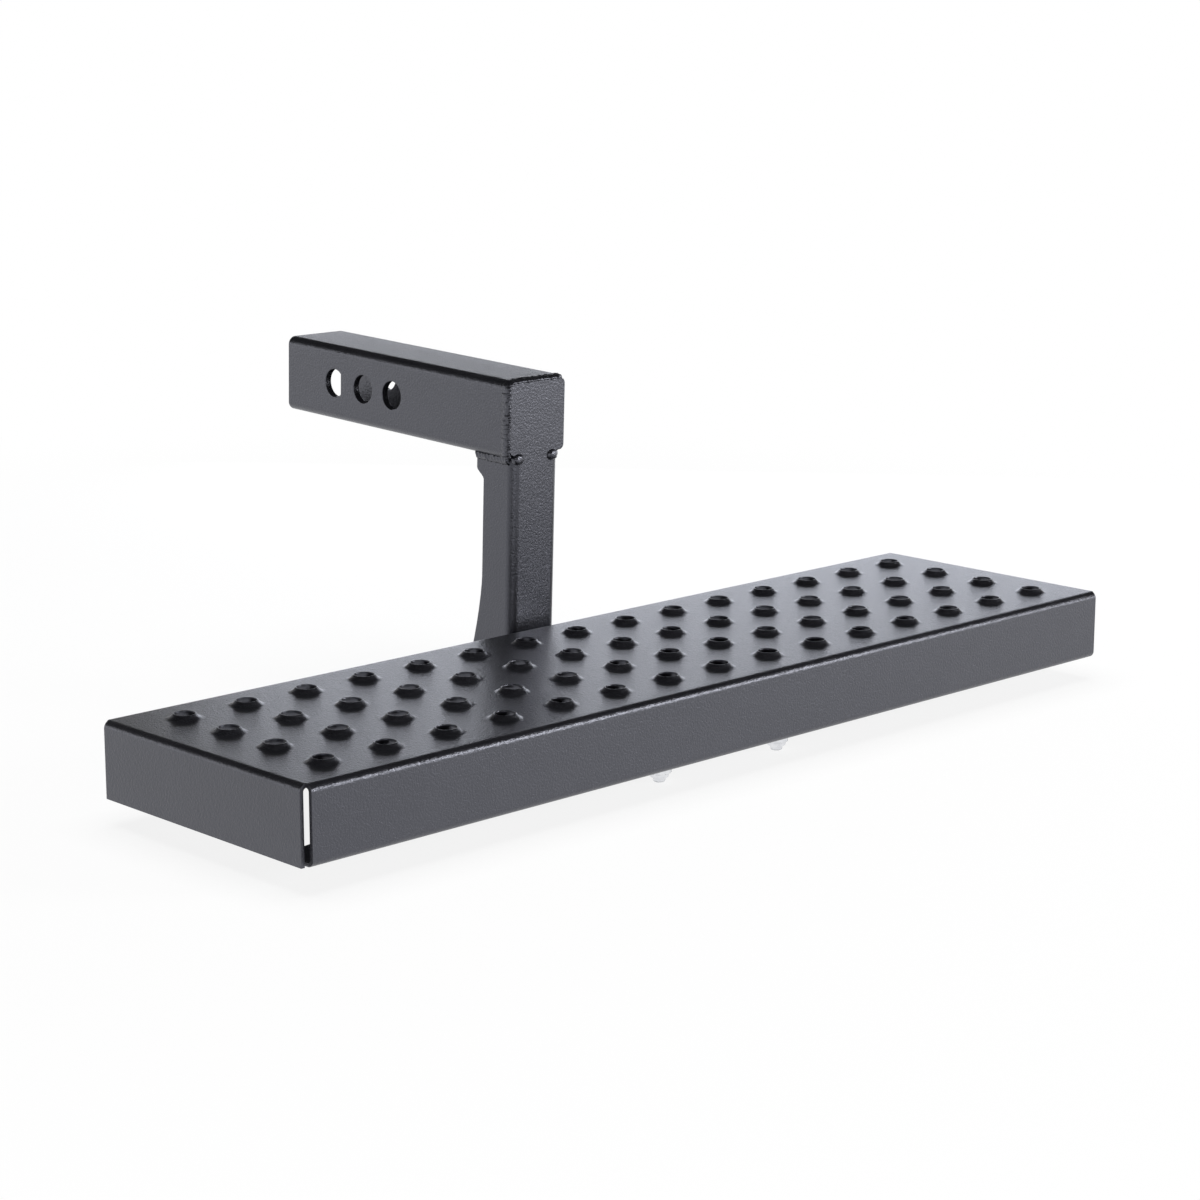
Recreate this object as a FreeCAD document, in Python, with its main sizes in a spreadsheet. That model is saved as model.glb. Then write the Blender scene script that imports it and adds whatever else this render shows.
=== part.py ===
import FreeCAD, Part
import Sketcher
import math
import os

# Hitch receiver step: a folded steel tread pan on a welded bracket whose square bar slides into
# a vehicle's receiver tube. Millimetres, +Z up, +Y towards the vehicle, +X along the tread to
# the right of someone who stands behind the vehicle and looks at it.
# The origin is on the bar's axis, at the pin hole nearest the vehicle.

doc = FreeCAD.newDocument("hitch_step")

# Driving dimensions, each written once.
# Tread pan
PAN_LENGTH = 690
PAN_WIDTH = 188
PAN_HEIGHT = 46
PAN_SHEET = 2.5
PAN_BEND = 2
LIP_DEPTH = 40
LIP_SQUARE = 26
LIP_SLANT = 80
PAN_CLEARANCE = 11.458
TREAD_DROP = 142

# Traction studs
STUD_COLUMNS = 15
STUD_ROWS = 4
STUD_COLUMN_PITCH = 44
STUD_ROW_PITCH = 42
STUD_BASE = 19.5
STUD_RIM = 11.6
STUD_HOLE = 10.2
STUD_HOLLOW = 16.2
STUD_HEIGHT = 3.5

# Receiver bar
BAR_SIDE = 50.8
BAR_WALL = 4.8
BAR_CORNER = 5.5
BAR_LENGTH = 222
BAR_TILT = 2
PIN_HOLE = 19
PIN_PITCH = 30
PIN_MARGIN = 50.5

# Upright
UPRIGHT_SHEET = 4
UPRIGHT_BEND = 2.5
WEB_INSET = 1.9
CHANNEL_WIDTH = 40
FLANGE_DEPTH = 29
FLANGE_GAP = 1.5
EAR_DEPTH = 35.5
EAR_HEIGHT = 9
EAR_BLEND = 7
FLARE_START = 80
FOOT_DEPTH = 45
RELIEF_RADIUS = 3.5

# Foot plate
PLATE_THICKNESS = 5
PLATE_CORNER = 10
PLATE_MARGIN = 13
PLATE_TAIL = 8
BOLT_SETBACK = 30
BOLT_SPACING = 104

# Fasteners
BOLT_DIAMETER = 8
BOLT_LENGTH = 20
BOLT_HOLE = 9
HEX_FLATS = 13
HEAD_HEIGHT = 5.3
NUT_HEIGHT = 8
NUT_HEX_HEIGHT = 5.6
COLLAR_DIAMETER = 12
INSERT_DIAMETER = 10.4
INSERT_HEIGHT = 2.4
THREAD_CLEARANCE = 0.1
WASHER_DIAMETER = 16
WASHER_HOLE = 8.4
WASHER_THICKNESS = 1.6

# Welds
BEAD_THROAT = 1.4
BEAD_REACH = 4.5
SEAM_LEG = 4.5
SEAM_RISE = 2.2
FOOT_LEG = 5
PLUG_CROWN = 1

# The sheet's cells: every driving dimension under an alias, with a note.
SIZES = [
    ("tread pan", [
        ("pan_length", PAN_LENGTH, "overall, along X"),
        ("pan_width", PAN_WIDTH, "overall, along Y"),
        ("pan_height", PAN_HEIGHT, "from the underside of the lips to the tread"),
        ("pan_sheet", PAN_SHEET, "steel sheet"),
        ("pan_bend", PAN_BEND, "inner radius of every bend"),
        ("lip_depth", LIP_DEPTH, "bottom return of the front and back walls, from the wall's face"),
        ("lip_square", LIP_SQUARE, "how far a lip's ends run square beside the end wall"),
        ("lip_slant", LIP_SLANT, "length along X over which a lip grows to its full depth"),
        ("pan_clearance", PAN_CLEARANCE, "from the pan's back wall to the upright's foot"),
        ("tread_drop", TREAD_DROP, "from the pin hole's axis down to the tread"),
    ]),
    ("traction studs", [
        ("stud_columns", STUD_COLUMNS, "along X"),
        ("stud_rows", STUD_ROWS, "along Y"),
        ("stud_column_pitch", STUD_COLUMN_PITCH, "along X"),
        ("stud_row_pitch", STUD_ROW_PITCH, "along Y"),
        ("stud_base", STUD_BASE, "diameter where the cone leaves the tread"),
        ("stud_rim", STUD_RIM, "outer diameter at the pierced rim"),
        ("stud_hole", STUD_HOLE, "inner diameter at the pierced rim"),
        ("stud_hollow", STUD_HOLLOW, "diameter of the hollow in the sheet's underside"),
        ("stud_height", STUD_HEIGHT, "rim above the tread"),
    ]),
    ("receiver bar", [
        ("bar_side", BAR_SIDE, "square tube for a two inch receiver"),
        ("bar_wall", BAR_WALL, "tube wall"),
        ("bar_corner", BAR_CORNER, "outer corner radius"),
        ("bar_length", BAR_LENGTH, "from the upright's web to the open end"),
        ("bar_tilt", BAR_TILT, "degrees: the open end stands higher than the welded end"),
        ("pin_hole", PIN_HOLE, "diameter"),
        ("pin_pitch", PIN_PITCH, "between the three pin holes"),
        ("pin_margin", PIN_MARGIN, "from the open end to the nearest pin hole"),
    ]),
    ("upright", [
        ("upright_sheet", UPRIGHT_SHEET, "steel sheet"),
        ("upright_bend", UPRIGHT_BEND, "inner radius of the two bends"),
        ("web_inset", WEB_INSET, "how far the web's head stands inside the bar's outline"),
        ("channel_width", CHANNEL_WIDTH, "over the two flanges"),
        ("flange_depth", FLANGE_DEPTH, "from the web's face to the flanges' back edge"),
        ("flange_gap", FLANGE_GAP, "from the bar down to the flanges' top edge"),
        ("ear_depth", EAR_DEPTH, "flange depth right under the bar"),
        ("ear_height", EAR_HEIGHT, "straight part of the ear"),
        ("ear_blend", EAR_BLEND, "height over which the ear fades into the flange"),
        ("flare_start", FLARE_START, "from the flanges' top edge down to where they widen again"),
        ("foot_depth", FOOT_DEPTH, "flange depth at the foot"),
        ("relief_radius", RELIEF_RADIUS, "notch at the top of each bend"),
    ]),
    ("foot plate", [
        ("plate_thickness", PLATE_THICKNESS, ""),
        ("plate_corner", PLATE_CORNER, "corner radius"),
        ("plate_margin", PLATE_MARGIN, "from the bolts' axes to the plate's front and side edges"),
        ("plate_tail", PLATE_TAIL, "how far the plate runs past the flanges' foot"),
        ("bolt_setback", BOLT_SETBACK, "from the pan's front and back faces to the bolts' axes"),
        ("bolt_spacing", BOLT_SPACING, "between the bolts, along X"),
    ]),
    ("fasteners", [
        ("bolt_diameter", BOLT_DIAMETER, "M8"),
        ("bolt_length", BOLT_LENGTH, "under the head"),
        ("bolt_hole", BOLT_HOLE, "clearance hole in the lips and the plate"),
        ("hex_flats", HEX_FLATS, "across flats, head and nut"),
        ("head_height", HEAD_HEIGHT, ""),
        ("nut_height", NUT_HEIGHT, "with its collar"),
        ("nut_hex_height", NUT_HEX_HEIGHT, "the part with flats"),
        ("collar_diameter", COLLAR_DIAMETER, ""),
        ("insert_diameter", INSERT_DIAMETER, "plastic ring in the collar"),
        ("insert_height", INSERT_HEIGHT, ""),
        ("thread_clearance", THREAD_CLEARANCE, "between the bolt and the nut, over the diameter"),
        ("washer_diameter", WASHER_DIAMETER, ""),
        ("washer_hole", WASHER_HOLE, ""),
        ("washer_thickness", WASHER_THICKNESS, ""),
    ]),
    ("welds", [
        ("bead_throat", BEAD_THROAT, "how far the bead round the bar's end stands proud of the bar"),
        ("bead_reach", BEAD_REACH, "how far that bead runs along the bar"),
        ("seam_leg", SEAM_LEG, "bead between the bar and a flange's top edge, down the flange"),
        ("seam_rise", SEAM_RISE, "how far that bead stands out from the flange"),
        ("foot_leg", FOOT_LEG, "fillets between the upright and the foot plate"),
        ("plug_crown", PLUG_CROWN, "how far the weld in a relief notch stands proud of the web"),
    ]),
]


class Size:
    """A number together with the sheet formula that gives it, so a sketch can be both."""

    def __init__(self, value, formula):
        self.value = value
        self.formula = formula

    @staticmethod
    def of(thing):
        return thing if isinstance(thing, Size) else Size(thing, repr(thing))

    def join(self, other, sign, value):
        return Size(value, "(" + self.formula + " " + sign + " " + Size.of(other).formula + ")")

    def __add__(self, other):
        return self.join(other, "+", self.value + Size.of(other).value)

    def __sub__(self, other):
        return self.join(other, "-", self.value - Size.of(other).value)

    def __mul__(self, other):
        return self.join(other, "*", self.value * Size.of(other).value)

    def __truediv__(self, other):
        return self.join(other, "/", self.value / Size.of(other).value)

    def __neg__(self):
        return Size(-self.value, "(0 - " + self.formula + ")")

    def sine(self):
        return Size(math.sin(math.radians(self.value)), "sin(" + self.formula + ")")

    def cosine(self):
        return Size(math.cos(math.radians(self.value)), "cos(" + self.formula + ")")

    def tangent(self):
        return Size(math.tan(math.radians(self.value)), "tan(" + self.formula + ")")


def fill_sheet():
    """Write every driving dimension to the sheet and hand it back by name."""
    sheet = doc.addObject("Spreadsheet::Sheet", "Sizes")
    sizes = {}
    row = 1
    for piece, cells in SIZES:
        sheet.set("A" + str(row), piece)
        row += 1
        for alias, number, note in cells:
            sheet.set("A" + str(row), alias.replace("_", " "))
            sheet.set("B" + str(row), str(number))
            sheet.set("C" + str(row), note)
            sheet.setAlias("B" + str(row), alias)
            sizes[alias] = Size(number, "<<Sizes>>." + alias)
            row += 1
    doc.recompute()
    return sizes


S = fill_sheet()
ZERO = Size(0, "0")

# Sizes that several pieces share, worked out from the driving ones.
BAR_HALF = S["bar_side"] / 2
FLANGE_TOP = -(BAR_HALF + S["flange_gap"])
WEB_FACE = -(S["bar_length"] + S["upright_sheet"] - S["pin_margin"])
WEB_BACK = WEB_FACE + S["upright_sheet"]
CHANNEL_HALF = S["channel_width"] / 2
CHANNEL_BEND = S["upright_sheet"] + S["upright_bend"]
PAN_RADIUS = S["pan_sheet"] + S["pan_bend"]
PAN_FLOOR = -(S["tread_drop"] + S["pan_height"])
FOOT_FACE = WEB_FACE / S["bar_tilt"].cosine() - PAN_FLOOR * S["bar_tilt"].tangent()
TREAD_REACH = S["pan_width"] / 2 + S["pan_clearance"] - FOOT_FACE
BOLT_X = S["bolt_spacing"] / 2
HEX_RADIUS = S["hex_flats"] / math.sqrt(3)
BOLT_Y = S["pan_width"] / 2 - S["bolt_setback"]


# Small helpers: bodies, sketches and features whose sizes are bound to the sheet.

def bind(thing, path, size):
    thing.setExpression(path, Size.of(size).formula)


def place(thing, y=None, z=None, tilt=None):
    """Bind where a piece stands, and how far it leans about X."""
    if tilt is not None:
        thing.Placement = FreeCAD.Placement(
            FreeCAD.Vector(), FreeCAD.Rotation(FreeCAD.Vector(1, 0, 0), tilt.value))
        bind(thing, "Placement.Rotation.Axis.x", Size(1, "1"))
        bind(thing, "Placement.Rotation.Axis.y", ZERO)
        bind(thing, "Placement.Rotation.Axis.z", ZERO)
        bind(thing, "Placement.Rotation.Angle", tilt)
    if y is not None:
        bind(thing, "Placement.Base.y", y)
    if z is not None:
        bind(thing, "Placement.Base.z", z)


def new_body(label):
    body = doc.addObject("PartDesign::Body", label)
    body.Label = label
    return body


def new_sketch(body, name, plane, across=None, along=None, up=None):
    """A sketch on one of the body's own planes. across and along move it in its plane,
    up moves it along the plane's normal."""
    sketch = body.newObject("Sketcher::SketchObject", name)
    role = plane + "_Plane"
    origin_plane = [f for f in body.Origin.OriginFeatures if f.Role == role][0]
    sketch.AttachmentSupport = [(origin_plane, "")]
    sketch.MapMode = "FlatFace"
    for path, size in (("x", across), ("y", along), ("z", up)):
        if size is not None:
            bind(sketch, "AttachmentOffset.Base." + path, size)
    return sketch


def pin_point(sketch, index, end, point):
    """Tie one point of the sketch to two sheet formulas."""
    for kind, size in (("DistanceX", point[0]), ("DistanceY", point[1])):
        size = Size.of(size)
        number = sketch.addConstraint(Sketcher.Constraint(kind, -1, 1, index, end, size.value))
        bind(sketch, "Constraints[" + str(number) + "]", size)


def arc_between(start, end, radius, left):
    """Arc from start to end; left says on which side of the straight way its centre lies."""
    middle = (start + end) * 0.5
    half = (end - start).Length / 2
    sideways = FreeCAD.Vector(start.y - end.y, end.x - start.x, 0).normalize()
    reach = math.sqrt(max(radius * radius - half * half, 0.0))
    centre = middle + sideways * (reach if left else -reach)
    from_angle = math.atan2(start.y - centre.y, start.x - centre.x)
    to_angle = math.atan2(end.y - centre.y, end.x - centre.x)
    circle = Part.Circle(centre, FreeCAD.Vector(0, 0, 1), radius)
    if left:
        return Part.ArcOfCircle(circle, from_angle, to_angle), 1, 2
    return Part.ArcOfCircle(circle, to_angle, from_angle), 2, 1


def draw_outline(sketch, points, arcs=None, closed=True):
    """Straight edges from point to point, each point bound to the sheet. arcs gives, for the
    edge that leaves a point, its radius and whether its centre lies to the left."""
    arcs = arcs or {}
    vectors = [FreeCAD.Vector(Size.of(x).value, Size.of(y).value, 0) for x, y in points]
    count = len(points)
    edges = count if closed else count - 1
    ends = []
    for edge in range(edges):
        start, finish = vectors[edge], vectors[(edge + 1) % count]
        if edge in arcs:
            radius, left = arcs[edge]
            curve, first, last = arc_between(start, finish, radius.value, left)
        else:
            curve, first, last = Part.LineSegment(start, finish), 1, 2
        index = sketch.addGeometry(curve, False)
        ends.append((index, first, last))
        if edge in arcs:
            number = sketch.addConstraint(Sketcher.Constraint("Radius", index, radius.value))
            bind(sketch, "Constraints[" + str(number) + "]", radius)
    for edge, (index, first, last) in enumerate(ends):
        follower = ends[(edge + 1) % edges]
        if closed or edge + 1 < edges:
            sketch.addConstraint(
                Sketcher.Constraint("Coincident", index, last, follower[0], follower[1]))
        pin_point(sketch, index, first, points[edge])
    if not closed:
        pin_point(sketch, ends[-1][0], ends[-1][2], points[-1])


def draw_rectangle(sketch, left, right, bottom, top):
    draw_outline(sketch, [(left, bottom), (right, bottom), (right, top), (left, top)])


def draw_circle(sketch, centre, diameter):
    x, y = Size.of(centre[0]), Size.of(centre[1])
    middle = FreeCAD.Vector(x.value, y.value, 0)
    circle = Part.Circle(middle, FreeCAD.Vector(0, 0, 1), diameter.value / 2)
    index = sketch.addGeometry(circle, False)
    pin_point(sketch, index, 3, (x, y))
    number = sketch.addConstraint(Sketcher.Constraint("Diameter", index, diameter.value))
    bind(sketch, "Constraints[" + str(number) + "]", diameter)


def draw_regular(sketch, radius, sides):
    """A regular polygon round the sketch's middle; radius is that of its corners."""
    corners = []
    for number in range(sides):
        turned = 2 * math.pi * number / sides
        corners.append((radius * math.cos(turned), radius * math.sin(turned)))
    draw_outline(sketch, corners)


def extrude(body, kind, name, sketch, length, side="One side", reverse=False):
    feature = body.newObject("PartDesign::" + kind, name)
    feature.Profile = sketch
    feature.SideType = side
    feature.Reversed = reverse
    bind(feature, "Length", length)
    sketch.Visibility = False
    doc.recompute()
    return feature


def turn(body, kind, name, sketch):
    """Revolve or groove a profile about its sketch's upright axis."""
    feature = body.newObject("PartDesign::" + kind, name)
    feature.Profile = sketch
    feature.ReferenceAxis = (sketch, ["V_Axis"])
    feature.Angle = 360
    sketch.Visibility = False
    doc.recompute()
    return feature


def edges_where(feature, test):
    names = []
    for number, edge in enumerate(feature.Shape.Edges, start=1):
        if test(edge):
            names.append("Edge" + str(number))
    return names


def faces_where(feature, test):
    names = []
    for number, face in enumerate(feature.Shape.Faces, start=1):
        if test(face):
            names.append("Face" + str(number))
    return names


def round_edges(body, name, base, test, radius):
    feature = body.newObject("PartDesign::Fillet", name)
    feature.Base = (base, edges_where(base, test))
    bind(feature, "Radius", radius)
    doc.recompute()
    return feature


def hollow_out(body, name, base, test, wall):
    """Shell a solid inwards and leave the faces that the test picks open."""
    feature = body.newObject("PartDesign::Thickness", name)
    feature.Base = (base, faces_where(base, test))
    feature.Mode = "Skin"
    feature.Join = "Intersection"
    feature.Reversed = True
    bind(feature, "Value", wall)
    doc.recompute()
    return feature


def near(a, b):
    return abs(a - b) < 1e-4


def runs_along(edge, axis):
    """True for a straight edge that runs along X, Y or Z."""
    if not isinstance(edge.Curve, Part.Line):
        return False
    return near(abs(getattr(edge.Curve.Direction, axis)), 1)


def at(shape, axis, value):
    """True where the whole of an edge or face lies at one height along an axis."""
    box = shape.BoundBox
    low = getattr(box, axis.upper() + "Min")
    high = getattr(box, axis.upper() + "Max")
    return near(low, value) and near(high, value)


# Tread pan. One sheet: a flat tread with four walls folded down, and the bottom edges of the
# long walls folded in again as lips. The walls stop short of each other at the corners.

def build_pan():
    body = new_body("step_pan")
    half_x, half_y = S["pan_length"] / 2, S["pan_width"] / 2
    top = S["pan_height"].value

    block_sketch = new_sketch(body, "PanOutline", "XY")
    draw_rectangle(block_sketch, -half_x, half_x, -half_y, half_y)
    block = extrude(body, "Pad", "PanBlock", block_sketch, S["pan_height"])
    round_edges(body, "TopBends", block, lambda e: at(e, "z", top), PAN_RADIUS)
    inside_x, inside_y = half_x - S["pan_sheet"], half_y - S["pan_sheet"]
    ceiling = S["pan_height"] - S["pan_sheet"]
    hollow_sketch = new_sketch(body, "PanInside", "XY")
    draw_rectangle(hollow_sketch, -inside_x, inside_x, -inside_y, inside_y)
    opened = extrude(body, "Pocket", "PanHollow", hollow_sketch, ceiling, reverse=True)
    round_edges(
        body, "TopBendsInside", opened, lambda e: at(e, "z", ceiling.value), S["pan_bend"])

    # The corners are cut square up to where the bends begin.
    notch_sketch = new_sketch(body, "CornerNotches", "XY")
    for side_x in (-1, 1):
        for side_y in (-1, 1):
            inner_x, outer_x = (half_x - PAN_RADIUS) * side_x, (half_x + PAN_RADIUS) * side_x
            inner_y, outer_y = (half_y - PAN_RADIUS) * side_y, (half_y + PAN_RADIUS) * side_y
            draw_rectangle(notch_sketch, inner_x, outer_x, inner_y, outer_y)
    extrude(body, "Pocket", "CornerSlits", notch_sketch, S["pan_height"] * 3, "Symmetric")

    # Lips of the front and back walls. Their ends are cut back at a slant.
    lip_sketch = new_sketch(body, "LipOutlines", "XY")
    end_x = half_x - PAN_RADIUS
    tip_x = end_x - S["lip_slant"]
    for side in (-1, 1):
        wall_y = half_y * side
        square_y = (half_y - S["lip_square"]) * side
        tip_y = (half_y - S["lip_depth"]) * side
        draw_outline(lip_sketch, [
            (-end_x, wall_y), (end_x, wall_y), (end_x, square_y),
            (tip_x, tip_y), (-tip_x, tip_y), (-end_x, square_y)])
    lips = extrude(body, "Pad", "Lips", lip_sketch, S["pan_sheet"])
    inner_y = (half_y - S["pan_sheet"]).value
    inner_z = S["pan_sheet"].value
    inside = round_edges(
        body, "LipBendsInside", lips,
        lambda e: runs_along(e, "x") and at(e, "z", inner_z)
        and (at(e, "y", inner_y) or at(e, "y", -inner_y)), S["pan_bend"])
    round_edges(
        body, "LipBendsOutside", inside,
        lambda e: runs_along(e, "x") and at(e, "z", 0)
        and (at(e, "y", half_y.value) or at(e, "y", -half_y.value)), PAN_RADIUS)

    hole_sketch = new_sketch(body, "LipBoltHoles", "XY")
    draw_bolt_circles(hole_sketch, S["bolt_hole"])
    extrude(body, "Pocket", "LipHoles", hole_sketch, S["pan_sheet"], reverse=True)

    # Traction studs: each is pushed up from below as a cone and pierced, so it stays open.
    first_x = -S["stud_column_pitch"] * (S["stud_columns"] - 1) / 2
    first_y = -S["stud_row_pitch"] * (S["stud_rows"] - 1) / 2
    rim = S["pan_height"] + S["stud_height"]
    cone_sketch = new_sketch(body, "StudCone", "XZ", across=first_x, up=-first_y)
    draw_outline(cone_sketch, [
        (ZERO, ceiling), (S["stud_base"] / 2, ceiling), (S["stud_base"] / 2, S["pan_height"]),
        (S["stud_rim"] / 2, rim), (ZERO, rim)])
    cone = turn(body, "Revolution", "Stud", cone_sketch)
    hollow_sketch = new_sketch(body, "StudHollow", "XZ", across=first_x, up=-first_y)
    draw_outline(hollow_sketch, [
        (ZERO, ceiling), (S["stud_hollow"] / 2, ceiling), (S["stud_hole"] / 2, rim),
        (ZERO, rim)])
    hollow = turn(body, "Groove", "StudOpening", hollow_sketch)
    repeat_in_grid(
        body, [cone, hollow], S["stud_columns"], S["stud_column_pitch"],
        S["stud_rows"], S["stud_row_pitch"])

    place(body, y=-TREAD_REACH, z=PAN_FLOOR)
    return body


def axis_of(body, name):
    return [f for f in body.Origin.OriginFeatures if f.Role == name + "_Axis"][0]


def repeat_in_grid(body, originals, columns, column_pitch, rows, row_pitch):
    """Repeat features in columns along X and rows along Y."""
    grid = body.newObject("PartDesign::LinearPattern", body.Label + "_grid")
    grid.Originals = originals
    grid.Direction = (axis_of(body, "X"), [""])
    grid.Direction2 = (axis_of(body, "Y"), [""])
    grid.Mode = "Spacing"
    grid.Mode2 = "Spacing"
    # A spacing of -1 stands for the common pitch; the rows' list starts with a zero instead.
    grid.Spacings2 = [-1.0]
    bind(grid, "Offset", column_pitch)
    bind(grid, "Offset2", row_pitch)
    bind(grid, "Occurrences", columns)
    bind(grid, "Occurrences2", rows)
    body.Tip = grid
    doc.recompute()


def draw_bolt_circles(sketch, diameter):
    """One circle on each of the four bolts' axes."""
    for side_x in (-1, 1):
        for side_y in (-1, 1):
            draw_circle(sketch, (BOLT_X * side_x, BOLT_Y * side_y), diameter)


# Receiver bar. Square tube, open at both ends; the pin holes go through both side walls.

def build_bar():
    body = new_body("receiver_bar")
    section = new_sketch(body, "BarSection", "XZ", up=-S["pin_margin"])
    draw_rectangle(section, -BAR_HALF, BAR_HALF, -BAR_HALF, BAR_HALF)
    solid_bar = extrude(body, "Pad", "BarBlank", section, S["bar_length"])
    rounded = round_edges(
        body, "BarCorners", solid_bar, lambda e: runs_along(e, "y"), S["bar_corner"])
    open_end = S["pin_margin"].value
    hollow_out(
        body, "BarTube", rounded,
        lambda f: at(f, "y", open_end) or at(f, "y", WEB_BACK.value), S["bar_wall"])
    holes = new_sketch(body, "PinHoles", "YZ")
    for number in range(PIN_HOLES):
        draw_circle(holes, (-S["pin_pitch"] * number, ZERO), S["pin_hole"])
    extrude(body, "Pocket", "PinBores", holes, S["bar_side"] * 2, "Symmetric")
    place(body, tilt=S["bar_tilt"])
    return body


# Upright. One sheet: a channel whose web runs on above the flanges as a flat head that closes
# the bar's end. The flanges have an ear under the bar and widen again towards the foot.

def build_upright():
    body = new_body("upright")
    blank_depth = S["ear_depth"] + S["foot_depth"]
    channel_sketch = new_sketch(body, "ChannelOutline", "XY", up=FLANGE_TOP)
    draw_rectangle(
        channel_sketch, -CHANNEL_HALF, CHANNEL_HALF, WEB_FACE, WEB_FACE + blank_depth)
    blank = extrude(
        body, "Pad", "ChannelBlank", channel_sketch, -PAN_FLOOR, reverse=True)
    face_y = WEB_FACE.value
    bent = round_edges(
        body, "ChannelBends", blank,
        lambda e: runs_along(e, "z") and at(e, "y", face_y), CHANNEL_BEND)
    back_y = (WEB_FACE + blank_depth).value
    top_z, bottom_z = FLANGE_TOP.value, (FLANGE_TOP + PAN_FLOOR).value
    hollow_out(
        body, "ChannelShell", bent,
        lambda f: at(f, "y", back_y) or at(f, "z", top_z) or at(f, "z", bottom_z),
        S["upright_sheet"])

    # Back edge of the flanges: ear, soft step, straight run, flare down to the foot.
    ear_y, run_y = WEB_FACE + S["ear_depth"], WEB_FACE + S["flange_depth"]
    foot_y, past_y = WEB_FACE + S["foot_depth"], WEB_FACE + blank_depth + 1
    above, below = FLANGE_TOP + 1, FLANGE_TOP + PAN_FLOOR - 1
    ear_low = FLANGE_TOP - S["ear_height"]
    run_high = ear_low - S["ear_blend"]
    step = S["ear_depth"] - S["flange_depth"]
    step_radius = (step * step + S["ear_blend"] * S["ear_blend"]) / (step * 4)
    contour = new_sketch(body, "FlangeContour", "YZ")
    draw_outline(contour, [
        (ear_y, above), (ear_y, ear_low),
        ((ear_y + run_y) / 2, (ear_low + run_high) / 2), (run_y, run_high),
        (run_y, FLANGE_TOP - S["flare_start"]), (foot_y, level_z(foot_y)),
        (foot_y, below), (past_y, below), (past_y, above)],
        arcs={1: (step_radius, False), 2: (step_radius, True)})
    extrude(body, "Pocket", "FlangeTrim", contour, S["channel_width"] * 2, "Symmetric")

    # The foot is trimmed so that it stands flat on the level foot plate.
    before_y = WEB_FACE - 1
    foot_line = new_sketch(body, "FootLine", "YZ")
    draw_outline(foot_line, [
        (before_y, level_z(before_y)), (before_y, below),
        (past_y, below), (past_y, level_z(past_y))])
    extrude(body, "Pocket", "FootTrim", foot_line, S["channel_width"] * 2, "Symmetric")

    # Flat head behind which the bar ends, and the neck that joins it to the channel's web.
    head = BAR_HALF - S["web_inset"]
    flat = BAR_HALF - S["bar_corner"]
    corner = S["bar_corner"] - S["web_inset"]
    head_sketch = new_sketch(body, "WebHead", "XZ", up=-WEB_FACE)
    draw_outline(head_sketch, [
        (-flat, FLANGE_TOP), (flat, FLANGE_TOP), (flat, -head), (head, -flat), (head, flat),
        (flat, head), (-flat, head), (-head, flat), (-head, -flat), (-flat, -head)],
        arcs={2: (corner, True), 4: (corner, True), 6: (corner, True), 8: (corner, True)})
    extrude(body, "Pad", "Head", head_sketch, S["upright_sheet"], reverse=True)

    relief_sketch = new_sketch(body, "ReliefNotches", "XZ", up=-WEB_FACE)
    for side in (-1, 1):
        draw_circle(relief_sketch, (RELIEF_X * side, -BAR_HALF), S["relief_radius"] * 2)
    extrude(body, "Pocket", "Reliefs", relief_sketch, CHANNEL_BEND)
    place(body, tilt=S["bar_tilt"])
    return body


def level_z(y):
    """Height, in the tilted bracket's own axes, of the foot plate's top at a given y."""
    return (PAN_FLOOR - y * S["bar_tilt"].sine()) / S["bar_tilt"].cosine()


# Foot plate. Flat, under both lips and the upright.

def build_foot_plate():
    body = new_body("foot_plate")
    side = BOLT_X + S["plate_margin"]
    front = -(BOLT_Y + S["plate_margin"])
    back = FOOT_FACE + S["foot_depth"] + S["plate_tail"] + TREAD_REACH
    outline = new_sketch(body, "PlateOutline", "XY")
    draw_rectangle(outline, -side, side, front, back)
    plate = extrude(body, "Pad", "Plate", outline, S["plate_thickness"], reverse=True)
    round_edges(
        body, "PlateCorners", plate, lambda e: runs_along(e, "z"), S["plate_corner"])
    holes = new_sketch(body, "PlateBoltHoles", "XY")
    draw_bolt_circles(holes, S["bolt_hole"])
    extrude(body, "Pocket", "PlateHoles", holes, S["plate_thickness"])
    place(body, y=-TREAD_REACH, z=PAN_FLOOR)
    return body


# Fasteners. Each kind is one node of four solids, on the same four axes. Heights are measured
# from the underside of the lips, which is also the top of the foot plate.

def fastener_body(label):
    body = new_body(label)
    body.AllowCompound = True
    return body


def repeat_at_bolts(body, originals):
    """Copy features made on the first bolt's axis to the other three."""
    repeat_in_grid(body, originals, Size(2, "2"), BOLT_X * 2, Size(2, "2"), BOLT_Y * 2)
    place(body, y=-TREAD_REACH, z=PAN_FLOOR)
    return body


def bolt_sketch(body, name, height=None):
    """A level sketch whose middle is the first bolt's axis."""
    return new_sketch(body, name, "XY", across=-BOLT_X, along=-BOLT_Y, up=height)


def build_bolts():
    body = fastener_body("hex_bolts")
    seat = S["pan_sheet"] + S["washer_thickness"]
    head_sketch = bolt_sketch(body, "HeadHexagon", seat)
    draw_regular(head_sketch, HEX_RADIUS, 6)
    head = extrude(body, "Pad", "HexHead", head_sketch, S["head_height"])
    shank_sketch = bolt_sketch(body, "ShankCircle", seat)
    draw_circle(shank_sketch, (ZERO, ZERO), S["bolt_diameter"] - S["thread_clearance"])
    shank = extrude(body, "Pad", "Shank", shank_sketch, S["bolt_length"], reverse=True)
    return repeat_at_bolts(body, [head, shank])


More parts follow.
